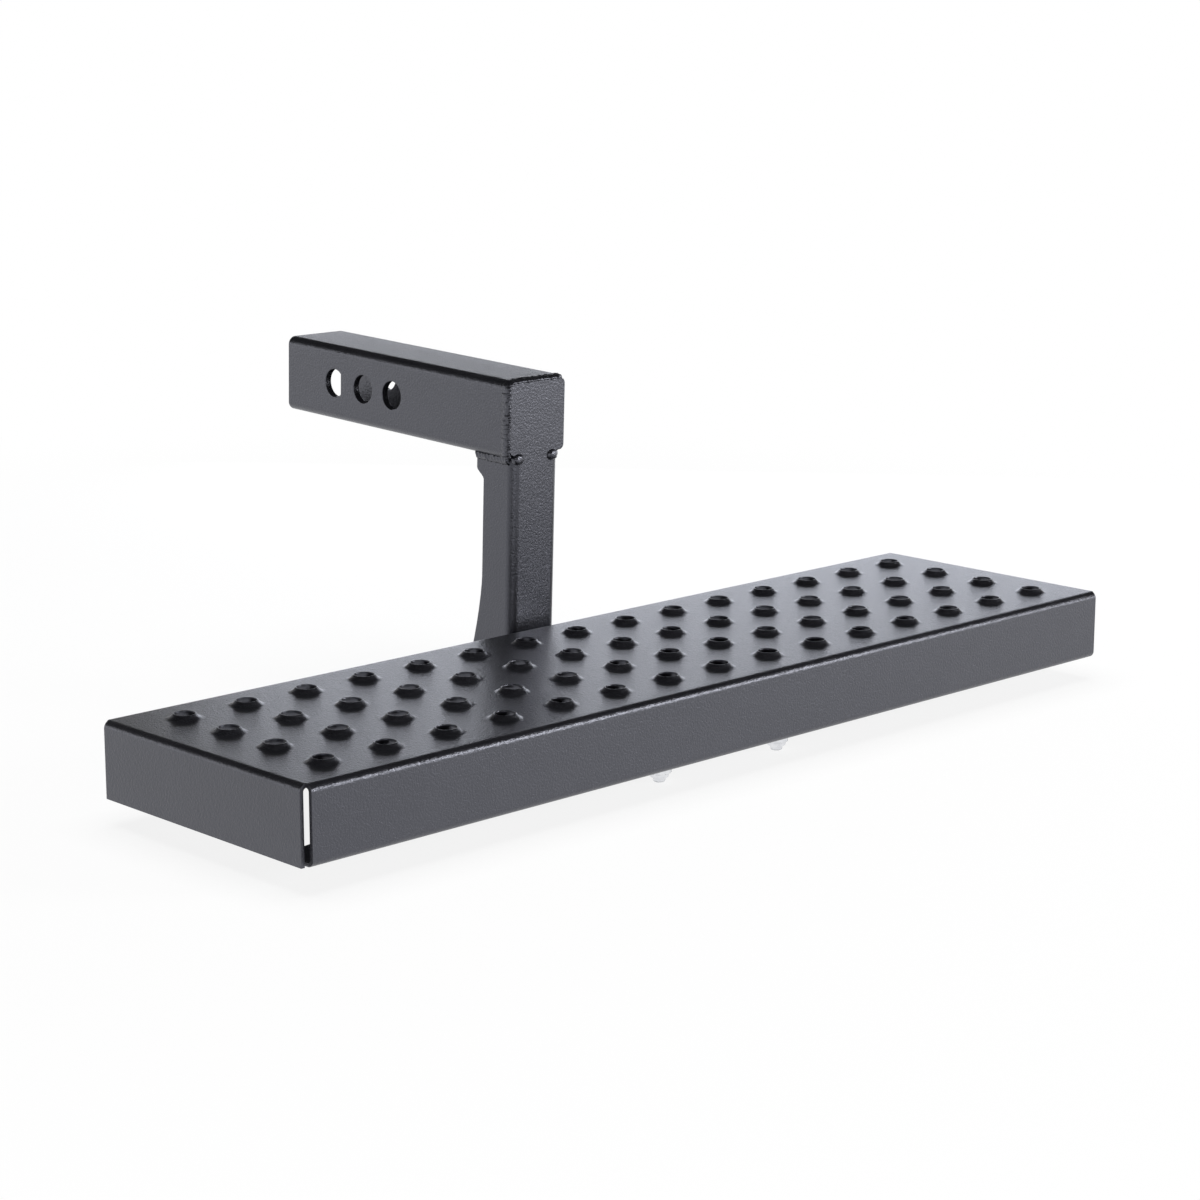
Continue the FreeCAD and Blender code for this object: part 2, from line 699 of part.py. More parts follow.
def build_washers():
    body = fastener_body("head_washers")
    ring_sketch = bolt_sketch(body, "WasherRing", S["pan_sheet"])
    draw_circle(ring_sketch, (ZERO, ZERO), S["washer_diameter"])
    draw_circle(ring_sketch, (ZERO, ZERO), S["washer_hole"])
    ring = extrude(body, "Pad", "Washer", ring_sketch, S["washer_thickness"])
    return repeat_at_bolts(body, [ring])


def build_nuts():
    body = fastener_body("lock_nuts")
    hex_sketch = bolt_sketch(body, "NutHexagon", -S["plate_thickness"])
    draw_regular(hex_sketch, HEX_RADIUS, 6)
    blank = extrude(body, "Pad", "NutHex", hex_sketch, S["nut_hex_height"], reverse=True)
    hex_end = -(S["plate_thickness"] + S["nut_hex_height"])
    nut_end = -(S["plate_thickness"] + S["nut_height"])
    collar_sketch = bolt_sketch(body, "CollarCircle", nut_end)
    draw_circle(collar_sketch, (ZERO, ZERO), S["collar_diameter"])
    collar = extrude(body, "Pad", "Collar", collar_sketch, hex_end - nut_end)
    bore_sketch = bolt_sketch(body, "NutBore", -S["plate_thickness"])
    draw_circle(bore_sketch, (ZERO, ZERO), S["bolt_diameter"])
    bore = extrude(body, "Pocket", "Bore", bore_sketch, S["nut_height"])
    seat_sketch = bolt_sketch(body, "InsertSeat", nut_end)
    draw_circle(seat_sketch, (ZERO, ZERO), S["insert_diameter"])
    seat = extrude(body, "Pocket", "InsertBore", seat_sketch, S["insert_height"], reverse=True)
    return repeat_at_bolts(body, [blank, collar, bore, seat])


def build_inserts():
    body = fastener_body("nut_inserts")
    nut_end = -(S["plate_thickness"] + S["nut_height"])
    ring_sketch = bolt_sketch(body, "InsertRing", nut_end)
    draw_circle(ring_sketch, (ZERO, ZERO), S["insert_diameter"])
    draw_circle(ring_sketch, (ZERO, ZERO), S["bolt_diameter"])
    ring = extrude(body, "Pad", "Insert", ring_sketch, S["insert_height"])
    return repeat_at_bolts(body, [ring])


# Welds. The one round the bar's end follows the bar's outline from one side over the top to
# the other; its section laps the web's edge and the bar's end.

def build_bar_end_weld():
    body = new_body("bar_end_weld")
    flat = BAR_HALF - S["bar_corner"]
    path = new_sketch(body, "BeadPath", "XZ", up=-WEB_BACK)
    draw_outline(path, [
        (-BAR_HALF, -flat), (-BAR_HALF, flat), (-flat, BAR_HALF), (flat, BAR_HALF),
        (BAR_HALF, flat), (BAR_HALF, -flat)],
        arcs={1: (S["bar_corner"], False), 3: (S["bar_corner"], False)}, closed=False)
    section = new_sketch(body, "BeadSection", "XY", up=-flat)
    head = BAR_HALF - S["web_inset"]
    crest = BAR_HALF + S["bead_throat"]
    draw_outline(section, [
        (-head, WEB_FACE), (-head, WEB_BACK), (-BAR_HALF, WEB_BACK),
        (-BAR_HALF, WEB_BACK + S["bead_reach"]), (-crest, WEB_BACK + S["bead_reach"] / 3),
        (-crest, WEB_FACE + S["upright_sheet"] / 2)])
    bead = body.newObject("PartDesign::AdditivePipe", "Bead")
    bead.Profile = section
    bead.Spine = path
    doc.recompute()
    place(body, tilt=S["bar_tilt"])
    return body


def build_seam_weld(side_name, side):
    """Bead between the bar's underside and the top edge of one flange."""
    body = new_body("seam_weld_" + side_name)
    start, end = WEB_FACE + CHANNEL_BEND, WEB_FACE + S["ear_depth"]
    section = new_sketch(body, "SeamSection_" + side_name, "XZ", up=-start)
    inner = CHANNEL_HALF - S["upright_sheet"]
    low = FLANGE_TOP - S["seam_leg"]
    round_radius = (S["seam_leg"] + S["flange_gap"]) * 1.5
    draw_outline(section, [
        (inner * side, -BAR_HALF), ((CHANNEL_HALF + S["seam_rise"]) * side, -BAR_HALF),
        (CHANNEL_HALF * side, low), (CHANNEL_HALF * side, FLANGE_TOP),
        (inner * side, FLANGE_TOP)], arcs={1: (round_radius, side < 0)})
    extrude(body, "Pad", "Seam_" + side_name, section, end - start, reverse=True)
    place(body, tilt=S["bar_tilt"])
    return body


def build_relief_weld(side_name, side):
    """Weld metal that fills one relief notch and stands proud of the web as a small button."""
    body = new_body("relief_weld_" + side_name)
    profile = new_sketch(
        body, "PlugProfile_" + side_name, "XY", across=RELIEF_X * side, up=-BAR_HALF)
    radius, crown = S["relief_radius"], S["plug_crown"]
    draw_outline(profile, [
        (ZERO, WEB_FACE - crown), (radius - crown, WEB_FACE - crown), (radius, WEB_FACE),
        (radius, WEB_BACK), (ZERO, WEB_BACK)])
    turn(body, "Revolution", "Plug_" + side_name, profile)
    place(body, tilt=S["bar_tilt"])
    return body


def build_foot_weld_front():
    body = new_body("foot_weld_front")
    leg = S["foot_leg"]
    section = new_sketch(body, "FrontFillet", "YZ")
    draw_outline(section, [
        (FOOT_FACE, ZERO), (FOOT_FACE - leg * S["bar_tilt"].tangent(), leg),
        (FOOT_FACE - leg, ZERO)])
    length = S["channel_width"] - CHANNEL_BEND * 2
    extrude(body, "Pad", "FrontBead", section, length, "Symmetric")
    place(body, z=PAN_FLOOR)
    return body


def build_foot_weld_side(side_name, side):
    body = new_body("foot_weld_" + side_name)
    start, end = FOOT_FACE + CHANNEL_BEND, FOOT_FACE + S["foot_depth"]
    section = new_sketch(body, "SideFillet_" + side_name, "XZ", up=-start)
    leg = S["foot_leg"]
    draw_outline(section, [
        (CHANNEL_HALF * side, ZERO), ((CHANNEL_HALF + leg) * side, ZERO),
        (CHANNEL_HALF * side, leg)])
    extrude(body, "Pad", "SideBead_" + side_name, section, end - start, reverse=True)
    place(body, z=PAN_FLOOR)
    return body


# How many pin holes the bar has, and where the relief notches sit: in line with the middle of
# the flanges' sheet, on the bar's lower edge.
PIN_HOLES = 3
RELIEF_X = CHANNEL_HALF - S["upright_sheet"] / 2

pieces = [
    build_pan(),
    build_bar(),
    build_upright(),
    build_foot_plate(),
    build_bolts(),
    build_washers(),
    build_nuts(),
    build_inserts(),
    build_bar_end_weld(),
    build_foot_weld_front(),
]
for side_name, side in (("left", -1), ("right", 1)):
    pieces.append(build_seam_weld(side_name, side))
    pieces.append(build_relief_weld(side_name, side))
    pieces.append(build_foot_weld_side(side_name, side))

# Check every object and every piece before anything is written.
doc.recompute()
failed = [o.Name for o in doc.Objects if "Invalid" in o.State or "Error" in o.State]
if failed:
    raise RuntimeError("these objects did not build: " + ", ".join(failed))
for piece in pieces:
    if piece.Shape.isNull() or not piece.Shape.isValid():
        raise RuntimeError("this piece has no valid shape: " + piece.Label)

os.makedirs("parts", exist_ok=True)
for piece in pieces:
    piece.Shape.exportStep(os.path.join("parts", piece.Label + ".step"))
    box = piece.Shape.BoundBox
    print(piece.Label, "solids", len(piece.Shape.Solids), "volume", round(piece.Shape.Volume),
          "x", round(box.XMin, 2), round(box.XMax, 2), "y", round(box.YMin, 2),
          round(box.YMax, 2), "z", round(box.ZMin, 2), round(box.ZMax, 2))
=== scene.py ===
# %% [markdown]
# # Dressing a hitch receiver step in Blender
# The metal parts of this step were constructed in a CAD model. This lesson loads that model as
# a fixed frame and lays the visible surface over it: soft bends, worked edges, weld beads and
# finishes. Sizes are written in millimetres, as a maker would, and turned into metres once,
# when a piece is finished.

# %% Load the frame
import bmesh
import bpy
import math
from mathutils import Matrix, Vector, noise


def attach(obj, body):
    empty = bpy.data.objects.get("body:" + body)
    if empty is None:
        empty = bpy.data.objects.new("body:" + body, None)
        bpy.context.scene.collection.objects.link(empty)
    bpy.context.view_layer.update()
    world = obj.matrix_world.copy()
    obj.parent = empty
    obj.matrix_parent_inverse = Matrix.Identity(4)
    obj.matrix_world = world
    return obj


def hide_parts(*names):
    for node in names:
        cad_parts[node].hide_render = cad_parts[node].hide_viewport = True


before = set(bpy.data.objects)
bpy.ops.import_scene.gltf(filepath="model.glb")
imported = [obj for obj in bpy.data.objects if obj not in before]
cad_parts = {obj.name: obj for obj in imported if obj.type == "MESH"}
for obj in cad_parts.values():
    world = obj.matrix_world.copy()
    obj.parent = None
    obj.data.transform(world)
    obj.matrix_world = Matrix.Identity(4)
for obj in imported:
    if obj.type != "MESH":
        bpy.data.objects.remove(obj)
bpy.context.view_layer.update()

print("nodes in the frame:", sorted(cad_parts))

# %% [markdown]
# ## The places that every piece shares
# The origin is the pin hole nearest the vehicle, on the square bar's axis. The tread pan, its
# plate and its fasteners stand level and are measured from the middle of the pan's underside.
# The bar, the upright and their welds are measured along the bar and then tilted together by
# two degrees, the way the real bracket was welded.

# %% Shared places
MM = 0.001
UNDERSIDE_Z = -188
PAN_PLACE = Matrix.Translation((0, -274.5, UNDERSIDE_Z))
BAR_TILT = math.radians(2)
BRACKET_PLACE = Matrix.Rotation(BAR_TILT, 4, "X")
print("pan's middle", PAN_PLACE.translation[:], "tilt", BAR_TILT)

# %% [markdown]
# ## Helpers for folded sheet
# Sheet metal is made on a brake: a flat blank is gripped and its edge is folded round a
# radius. The helpers do the same to a mesh. A strip of faces along the sheet's edge is pulled
# to lengthen the sheet, or turned about an axis to fold it, so both faces of the sheet follow
# and the wall keeps its thickness. Parts are always listed in the order in which they are met,
# so that every run gives the same mesh.

# %% Select, pull and fold
SAME_PLACE = 0.01


def each_once(parts):
    """A list without repeats, in the order of the parts."""
    return list(dict.fromkeys(parts))


def verts_in(geom):
    return [part for part in geom if isinstance(part, bmesh.types.BMVert)]


def faces_in(geom):
    return [part for part in geom if isinstance(part, bmesh.types.BMFace)]


def verts_of(parts):
    """The points of a list of faces or edges."""
    return each_once(v for part in parts for v in part.verts)


def edges_of(parts):
    """The edges of a list of faces or points."""
    if isinstance(parts[0], bmesh.types.BMVert):
        return each_once(edge for v in parts for edge in v.link_edges)
    return each_once(edge for face in parts for edge in face.edges)


def whole(faces):
    """Faces with their edges and points: an extrusion clears the old wall only with these."""
    return list(faces) + edges_of(faces) + verts_of(faces)


def faces_at(bm, axis, value, inside=None):
    """The faces that lie flat at one place along an axis."""
    chosen = []
    for face in bm.faces:
        if all(abs(v.co[axis] - value) < SAME_PLACE for v in face.verts):
            if inside is None or inside(face.calc_center_median()):
                chosen.append(face)
    return chosen


def pull(bm, faces, move):
    """Lengthen the sheet: extrude a strip of faces and move it."""
    made = bmesh.ops.extrude_face_region(bm, geom=whole(faces))["geom"]
    bmesh.ops.translate(bm, vec=move, verts=verts_in(made))
    return faces_in(made)


def fold(bm, faces, centre, axis, degrees, steps):
    """Bend the sheet: turn a strip of faces about an axis."""
    made = bmesh.ops.spin(
        bm, geom=whole(faces), cent=centre, axis=axis, angle=math.radians(degrees),
        steps=steps, use_duplicate=False)["geom_last"]
    return faces_in(made)


# %% [markdown]
# A cut or sheared edge of real sheet is never knife sharp, and the coat rounds it further.
# A narrow bevel on every edge sharper than 60 degrees gives light something to catch. The
# normals are turned outwards first, because two flat neighbours that face opposite ways would
# pass for a sharp edge.

# %% Soften cut edges
SHARP_ANGLE = math.radians(60)


def soften(bm, width, keep=None):
    """Bevel every sharp edge, except where keep says so."""
    bmesh.ops.recalc_face_normals(bm, faces=bm.faces)
    bm.normal_update()
    sharp = []
    for edge in bm.edges:
        if len(edge.link_faces) == 2 and edge.calc_face_angle() > SHARP_ANGLE:
            if keep is None or not keep(edge):
                sharp.append(edge)
    bmesh.ops.bevel(
        bm, geom=sharp, offset=width, offset_type="OFFSET", segments=2, profile=0.5,
        affect="EDGES", material=-1, clamp_overlap=True)
    return len(sharp)


# %% [markdown]
# ## Rings of edges
# A hole, a bolt and a weld bead are all made from a ring of edges that is carried on step by
# step. Each step leaves a band of faces behind and gives the new ring.

# %% Rings
def circle_at(bm, radius, segments, place):
    """A circle of edges round a place: gives its points and its ring."""
    verts = bmesh.ops.create_circle(
        bm, cap_ends=False, radius=radius, segments=segments)["verts"]
    bmesh.ops.translate(bm, vec=place, verts=verts)
    return verts, edges_of(verts)


def extend(bm, ring):
    """Extrude a ring of edges: gives the new points and the new ring."""
    made = bmesh.ops.extrude_edge_only(bm, edges=ring)["geom"]
    new_ring = [part for part in made
                if isinstance(part, bmesh.types.BMEdge) and part.is_boundary]
    return verts_in(made), new_ring


def next_ring(bm, ring, before, after):
    """Carry a ring from one (radius, height) to the next."""
    verts, ring = extend(bm, ring)
    growth = after[0] / before[0]
    bmesh.ops.scale(bm, vec=(growth, growth, 1), verts=verts)
    bmesh.ops.translate(bm, vec=(0, 0, after[1] - before[1]), verts=verts)
    return verts, ring


# %% [markdown]
# ## A pierced rectangle of sheet
# Two things here are a hole in a sheet, repeated: the tread's studs and the bar's pin holes.
# One rectangle of sheet is made round its hole, ring by ring, from the outer face through the
# hole to the inner face. Copies then share their borders, like tiles.

# %% Pierced cell
MERGE = 0.002


def border_of_rectangle(bm, width, depth, per_side, height):
    """The border of a rectangle in short edges: a grid whose inner points are taken out."""
    grid = bmesh.ops.create_grid(bm, x_segments=per_side, y_segments=per_side, size=0.5)
    inner = [v for v in grid["verts"] if max(abs(v.co.x), abs(v.co.y)) < 0.499]
    border = [v for v in grid["verts"] if v not in inner]
    bmesh.ops.delete(bm, geom=inner, context="VERTS")
    bmesh.ops.scale(bm, vec=(width, depth, 1), verts=border)
    bmesh.ops.translate(bm, vec=(0, 0, height), verts=border)
    return edges_of(border)


def pierced_cell(bm, width, depth, rings, per_side):
    """A rectangle of sheet with a hole; rings are (radius, height) from face to face."""
    radius, height = rings[0]
    outer = border_of_rectangle(bm, width, depth, per_side, height)
    ring = circle_at(bm, radius, 4 * per_side, (0, 0, height))[1]
    bmesh.ops.bridge_loops(bm, edges=outer + ring)
    for before, after in zip(rings, rings[1:]):
        ring = next_ring(bm, ring, before, after)[1]
    inner = border_of_rectangle(bm, width, depth, per_side, rings[-1][1])
    bmesh.ops.bridge_loops(bm, edges=ring + inner)


def repeat(bm, count, step):
    """Copy everything made so far, count times in all, one step apart."""
    pattern = bm.verts[:] + bm.edges[:] + bm.faces[:]
    for number in range(1, count):
        copy = bmesh.ops.duplicate(bm, geom=pattern)["geom"]
        bmesh.ops.translate(bm, vec=Vector(step) * number, verts=verts_in(copy))
    bmesh.ops.remove_doubles(bm, verts=bm.verts, dist=MERGE)


def close_border(bm, upper, lower):
    """Join the outer border of the upper face with that of the lower face."""
    border = [edge for edge in bm.edges if edge.is_boundary
              and all(abs(v.co.z - upper) < SAME_PLACE for v in edge.verts)]
    verts = extend(bm, border)[0]
    bmesh.ops.translate(bm, vec=(0, 0, lower - upper), verts=verts)
    bmesh.ops.remove_doubles(bm, verts=bm.verts, dist=MERGE)


# %% [markdown]
# ## Finishing a piece
# Each piece goes through the same steps at the end: doubles are merged, normals are turned
# outwards, millimetres become metres, and the piece is hung on the root body and given its
# material, while the CAD node that it stands for is hidden.

# %% Finish a piece
def finish(bm, name, node, material, place, flat_faces=True):
    """Turn a mesh in millimetres into a finished piece of the model."""
    bmesh.ops.remove_doubles(bm, verts=bm.verts, dist=MERGE)
    bmesh.ops.recalc_face_normals(bm, faces=bm.faces)
    bmesh.ops.transform(bm, matrix=Matrix.Scale(MM, 4) @ place, verts=bm.verts)
    open_edges = sum(1 for edge in bm.edges if not edge.is_manifold)
    for face in bm.faces:
        face.smooth = True
    mesh = bpy.data.meshes.new(name)
    bm.to_mesh(mesh)
    triangles = sum(len(face.verts) - 2 for face in bm.faces)
    bm.free()
    piece = bpy.data.objects.new(name, mesh)
    bpy.context.scene.collection.objects.link(piece)
    mesh.materials.append(material)
    if flat_faces:
        piece.modifiers.new("EvenShading", "WEIGHTED_NORMAL").keep_sharp = True
    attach(piece, "root")
    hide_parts(node)
    print(name, "triangles", triangles, "open edges", open_edges)


# %% [markdown]
# ## The fine grain of a powder coat
# A powder coat is sprayed dry and melted, so it keeps a fine pebbled skin. It could be modelled,
# but at under a millimetre it belongs in the shading. The group turns Object coordinates into
# two values: a fine noise of a few octaves as the grain's height, and a slow noise as a mottle.

# %% Grain group
def make_grain_group():
    group = bpy.data.node_groups.new("CoatGrain", "ShaderNodeTree")
    for name, way in (("Pebble size", "INPUT"), ("Mottle size", "INPUT"),
                      ("Height", "OUTPUT"), ("Mottle", "OUTPUT")):
        group.interface.new_socket(name, in_out=way, socket_type="NodeSocketFloat")
    nodes, links = group.nodes, group.links
    entry = nodes.new("NodeGroupInput")
    exit_node = nodes.new("NodeGroupOutput")
    place = nodes.new("ShaderNodeTexCoord")
    pebbles = nodes.new("ShaderNodeTexNoise")
    pebbles.inputs["Detail"].default_value = 3
    pebbles.inputs["Roughness"].default_value = 0.6
    mottle = nodes.new("ShaderNodeTexNoise")
    mottle.inputs["Detail"].default_value = 2
    links.new(place.outputs["Object"], pebbles.inputs["Vector"])
    links.new(place.outputs["Object"], mottle.inputs["Vector"])
    links.new(entry.outputs["Pebble size"], pebbles.inputs["Scale"])
    links.new(entry.outputs["Mottle size"], mottle.inputs["Scale"])
    links.new(pebbles.outputs["Fac"], exit_node.inputs["Height"])
    links.new(mottle.outputs["Fac"], exit_node.inputs["Mottle"])
    return group


GRAIN = make_grain_group()
print("group", GRAIN.name)

# %% [markdown]
# ## A finish made with that grain
# Paint, zinc and nylon all use the group with their own pebble size and depth. The mottle moves
# the colour between two close tones, and the grain moves the roughness between two close
# values, so that no surface is one flat colour. The grain is kept shallow: a deeper one would
# blur what the coat mirrors.

# %% Finishes
def make_finish(name, tones, gloss, metal, pebble, depth, mottle):
    """tones: two colours; gloss: two roughness values; pebble and mottle: waves per metre;
    depth: height of the grain in metres."""
    finish_material = bpy.data.materials.new(name)
    finish_material.use_nodes = True
    nodes, links = finish_material.node_tree.nodes, finish_material.node_tree.links
    shader = nodes["Principled BSDF"]
    shader.inputs["Metallic"].default_value = metal
    grain = nodes.new("ShaderNodeGroup")
    grain.node_tree = GRAIN
    grain.inputs["Pebble size"].default_value = pebble
    grain.inputs["Mottle size"].default_value = mottle
    colours = nodes.new("ShaderNodeValToRGB")
    for element, position, tone in zip(colours.color_ramp.elements, (0.35, 0.65), tones):
        element.position = position
        element.color = (*tone, 1)
    roughness = nodes.new("ShaderNodeMapRange")
    roughness.inputs["To Min"].default_value = gloss[0]
    roughness.inputs["To Max"].default_value = gloss[1]
    bump = nodes.new("ShaderNodeBump")
    bump.inputs["Distance"].default_value = depth
    links.new(grain.outputs["Mottle"], colours.inputs["Fac"])
    links.new(colours.outputs["Color"], shader.inputs["Base Color"])
    links.new(grain.outputs["Height"], roughness.inputs["Value"])
    links.new(roughness.outputs["Result"], shader.inputs["Roughness"])
    links.new(grain.outputs["Height"], bump.inputs["Height"])
    links.new(bump.outputs["Normal"], shader.inputs["Normal"])
    return finish_material


POWDER_COAT = make_finish(
    "powder_coat_charcoal", tones=((0.007, 0.007, 0.0085), (0.010, 0.010, 0.012)),
    gloss=(0.24, 0.36), metal=0, pebble=700, depth=0.0003, mottle=30)
coat_shader = POWDER_COAT.node_tree.nodes["Principled BSDF"]
coat_shader.inputs["IOR"].default_value = 1.7
coat_shader.inputs["Specular IOR Level"].default_value = 0.66
# The Specular Tint turns the coat's reflections a little blue: a painted tint of the
# reflections, standing in for a bluish cast of the light.
coat_shader.inputs["Specular Tint"].default_value = (0.84, 0.86, 1, 1)
ZINC = make_finish(
    "zinc_plate_bright", tones=((0.74, 0.75, 0.78), (0.86, 0.87, 0.89)),
    gloss=(0.1, 0.2), metal=1, pebble=1500, depth=0.00002, mottle=220)
NYLON = make_finish(
    "nylon_ring", tones=((0.70, 0.72, 0.74), (0.76, 0.78, 0.80)),
    gloss=(0.35, 0.5), metal=0, pebble=900, depth=0.00003, mottle=300)
print("finishes", POWDER_COAT.name, ZINC.name, NYLON.name)

# %% [markdown]
# ## The tread pan
# The real pan is one blank: sixty studs are pushed up from below and pierced in a press, then
# the four walls are folded down and the two long edges are folded in again as lips. It could be
# made as a box with studs set on top, but the open corner slits and the hollow studs show that
# it is sheet. So it is made in the same order: one pierced cell, copied into a plate, then
# pulled and folded edge by edge.
#
# The stud rises in a hollow curve from a wide foot to a rounded, pierced rim, and its inside
# opens towards the sheet's underside.

# %% Studs as a plate
PAN_TOP, PAN_SHEET = 46, 2.5
STUD_PITCH_X, STUD_PITCH_Y = 44, 42
STUDS_X, STUDS_Y = 15, 4
STUD_RINGS = [
    (11.8, 46.0), (11.1, 46.02), (10.4, 46.09), (9.8, 46.22), (9.2, 46.48), (8.6, 46.86),
    (8.0, 47.35), (7.5, 47.88), (7.15, 48.38), (6.9, 48.72), (6.6, 48.95), (6.2, 49.0),
    (5.92, 48.86), (5.8, 48.1), (6.1, 46.7), (6.9, 44.9), (7.7, 43.8), (8.5, 43.54), (9.3, 43.5)]
first_stud = (-STUD_PITCH_X * (STUDS_X - 1) / 2, -STUD_PITCH_Y * (STUDS_Y - 1) / 2, 0)
pan = bmesh.new()
pierced_cell(pan, STUD_PITCH_X, STUD_PITCH_Y, STUD_RINGS, per_side=10)
bmesh.ops.translate(pan, vec=first_stud, verts=pan.verts)
repeat(pan, STUDS_X, (STUD_PITCH_X, 0, 0))
repeat(pan, STUDS_Y, (0, STUD_PITCH_Y, 0))
close_border(pan, PAN_TOP, PAN_TOP - PAN_SHEET)
print("studded plate faces", len(pan.faces))

# %% [markdown]
# The plate grows by a plain margin up to where the bends begin. Each wall is folded over a
# radius of 4.5 mm outside and stops level with the start of its neighbours' bends, which leaves
# the slit that is seen at the corner.

# %% Margins and walls
PAN_HALF_X, PAN_HALF_Y, PAN_BEND, PAN_BEND_STEPS = 345, 94, 4.5, 7
field_x, field_y = STUD_PITCH_X * STUDS_X / 2, STUD_PITCH_Y * STUDS_Y / 2
flat_x, flat_y = PAN_HALF_X - PAN_BEND, PAN_HALF_Y - PAN_BEND
for side in (-1, 1):
    pull(pan, faces_at(pan, 0, field_x * side), ((flat_x - field_x) * side, 0, 0))
for side in (-1, 1):
    pull(pan, faces_at(pan, 1, field_y * side), (0, (flat_y - field_y) * side, 0))
bend_height = PAN_TOP - PAN_BEND
long_strips = [(side, faces_at(pan, 1, flat_y * side)) for side in (-1, 1)]
short_strips = [(side, faces_at(pan, 0, flat_x * side)) for side in (-1, 1)]
for side, strip in short_strips:
    strip = fold(pan, strip, (flat_x * side, 0, bend_height), (0, 1, 0), 90 * side,
                 PAN_BEND_STEPS)
    pull(pan, strip, (0, 0, -bend_height))
lips = []
for side, strip in long_strips:
    strip = fold(pan, strip, (0, flat_y * side, bend_height), (1, 0, 0), -90 * side,
                 PAN_BEND_STEPS)
    strip = pull(pan, strip, (0, 0, PAN_BEND - bend_height))
    strip = fold(pan, strip, (0, flat_y * side, PAN_BEND), (1, 0, 0), -90 * side,
                 PAN_BEND_STEPS)
    lips.append((side, strip))
print("folded pan faces", len(pan.faces))

# %% [markdown]
# The lips run on inwards. Their ends stand square beside the end walls and are then cut back at
# a slant.

# %% Lips
LIP_ROWS = [(3.5, 0), (14, 0), (4, 0), (12, 68.6), (2, 11.4)]  # each inwards, and cut back by
SLANT_START = 200
for side, strip in lips:
    reach = flat_x
    for inwards, cut_back in LIP_ROWS:
        strip = pull(pan, strip, (0, -inwards * side, 0))
        for v in verts_of(strip):
            beyond = abs(v.co.x) - SLANT_START
            if beyond > 0:
                v.co.x -= math.copysign(cut_back * beyond / (reach - SLANT_START), v.co.x)
        reach -= cut_back
print("pan faces with lips", len(pan.faces))

# %% [markdown]
# Each lip has two bolt holes. A hole could be cut out with a boolean, but that gives little
# hold on the mesh. Here a small patch of both faces is taken out, and the flat between its rim
# and a circle is filled again, one triangle after the other round the hole.

# %% Bolt holes in the lips
BOLT_X, BOLT_Y, BOLT_HOLE = 52, 64, 4.5
PATCH_HALF_X, PATCH_HALF_Y = 9, 8
BOLT_MIDDLES = [Vector((BOLT_X * side_x, BOLT_Y * side_y, 0))
                for side_x in (-1, 1) for side_y in (-1, 1)]


def fill_between(bm, outer, inner, middle):
    """Fill the flat between two closed loops of points round a middle."""
    def angle(v):
        return math.atan2(v.co.y - middle.y, v.co.x - middle.x)

    loops, turns = [], []
    for verts in (outer, inner):
        loop = sorted(verts, key=angle)
        loops.append(loop + loop[:1])
        turns.append([angle(v) for v in loop] + [angle(loop[0]) + math.tau, math.inf])
    a = b = 0
    while a + 1 < len(loops[0]) or b + 1 < len(loops[1]):
        if turns[0][a + 1] <= turns[1][b + 1]:
            bm.faces.new((loops[0][a], loops[0][a + 1], loops[1][b]))
            a += 1
        else:
            bm.faces.new((loops[0][a], loops[1][b + 1], loops[1][b]))
            b += 1


def bolt_hole(bm, middle):
    """A round hole through the lip."""
    wall = []
    for height in (0, PAN_SHEET):
        patch = faces_at(bm, 2, height, lambda c: abs(c.x - middle.x) < PATCH_HALF_X
                         and abs(c.y - middle.y) < PATCH_HALF_Y)
        rim = [edge for edge in edges_of(patch)
               if sum(face in patch for face in edge.link_faces) == 1]
        bmesh.ops.delete(bm, geom=patch, context="FACES")
        circle, ring = circle_at(bm, BOLT_HOLE, 28, middle + Vector((0, 0, height)))
        fill_between(bm, verts_of(rim), circle, middle)
        wall += ring
    bmesh.ops.bridge_loops(bm, edges=wall)


for middle in BOLT_MIDDLES:
    bolt_hole(pan, middle)
edges = soften(pan, 0.05, keep=lambda edge: max(v.co.z for v in edge.verts) > PAN_TOP + 0.1)
print("bolt holes", len(BOLT_MIDDLES), "softened edges", edges)
finish(pan, "tread_pan", "step_pan", POWDER_COAT, PAN_PLACE)

# %% [markdown]
# ## The receiver bar
# Square tube is bent from strip, so its four long edges are round outside and nearly sharp
# inside. One side wall is made from three pierced cells, one for each pin hole, with a trace of
# a countersink. The tube's corner is folded over, half the top and half the bottom are pulled
# to the middle, and a mirror makes the other half.

# %% Square tube
BAR_HALF, BAR_WALL, BAR_CORNER = 25.4, 4.8, 5.5
BAR_OPEN_END, BAR_WELDED_END = 50.5, -171.5
PIN_PITCH, PIN_HOLES = 30, 3
PIN_RINGS = [(10.6, 4.8), (9.85, 4.8), (9.6, 4.68), (9.5, 4.4), (9.5, 0.4), (9.6, 0.12),
             (9.85, 0), (10.6, 0)]
bar_flat = BAR_HALF - BAR_CORNER
bar = bmesh.new()
pierced_cell(bar, PIN_PITCH, bar_flat * 2, PIN_RINGS, per_side=14)
repeat(bar, PIN_HOLES, (-PIN_PITCH, 0, 0))
close_border(bar, BAR_WALL, 0)
near, far = PIN_PITCH / 2, PIN_PITCH / 2 - PIN_PITCH * PIN_HOLES
pull(bar, faces_at(bar, 0, near), (BAR_OPEN_END - near, 0, 0))
pull(bar, faces_at(bar, 0, far), (BAR_WELDED_END - far, 0, 0))
stand_up = Matrix(((0, 0, -1, BAR_WALL - BAR_HALF), (1, 0, 0, 0), (0, 1, 0, 0), (0, 0, 0, 1)))
bmesh.ops.transform(bar, matrix=stand_up, verts=bar.verts)
for side in (-1, 1):
    strip = faces_at(bar, 2, bar_flat * side)
    strip = fold(bar, strip, (-bar_flat, 0, bar_flat * side), (0, 1, 0), 90 * side, 8)
    pull(bar, strip, (bar_flat, 0, 0))
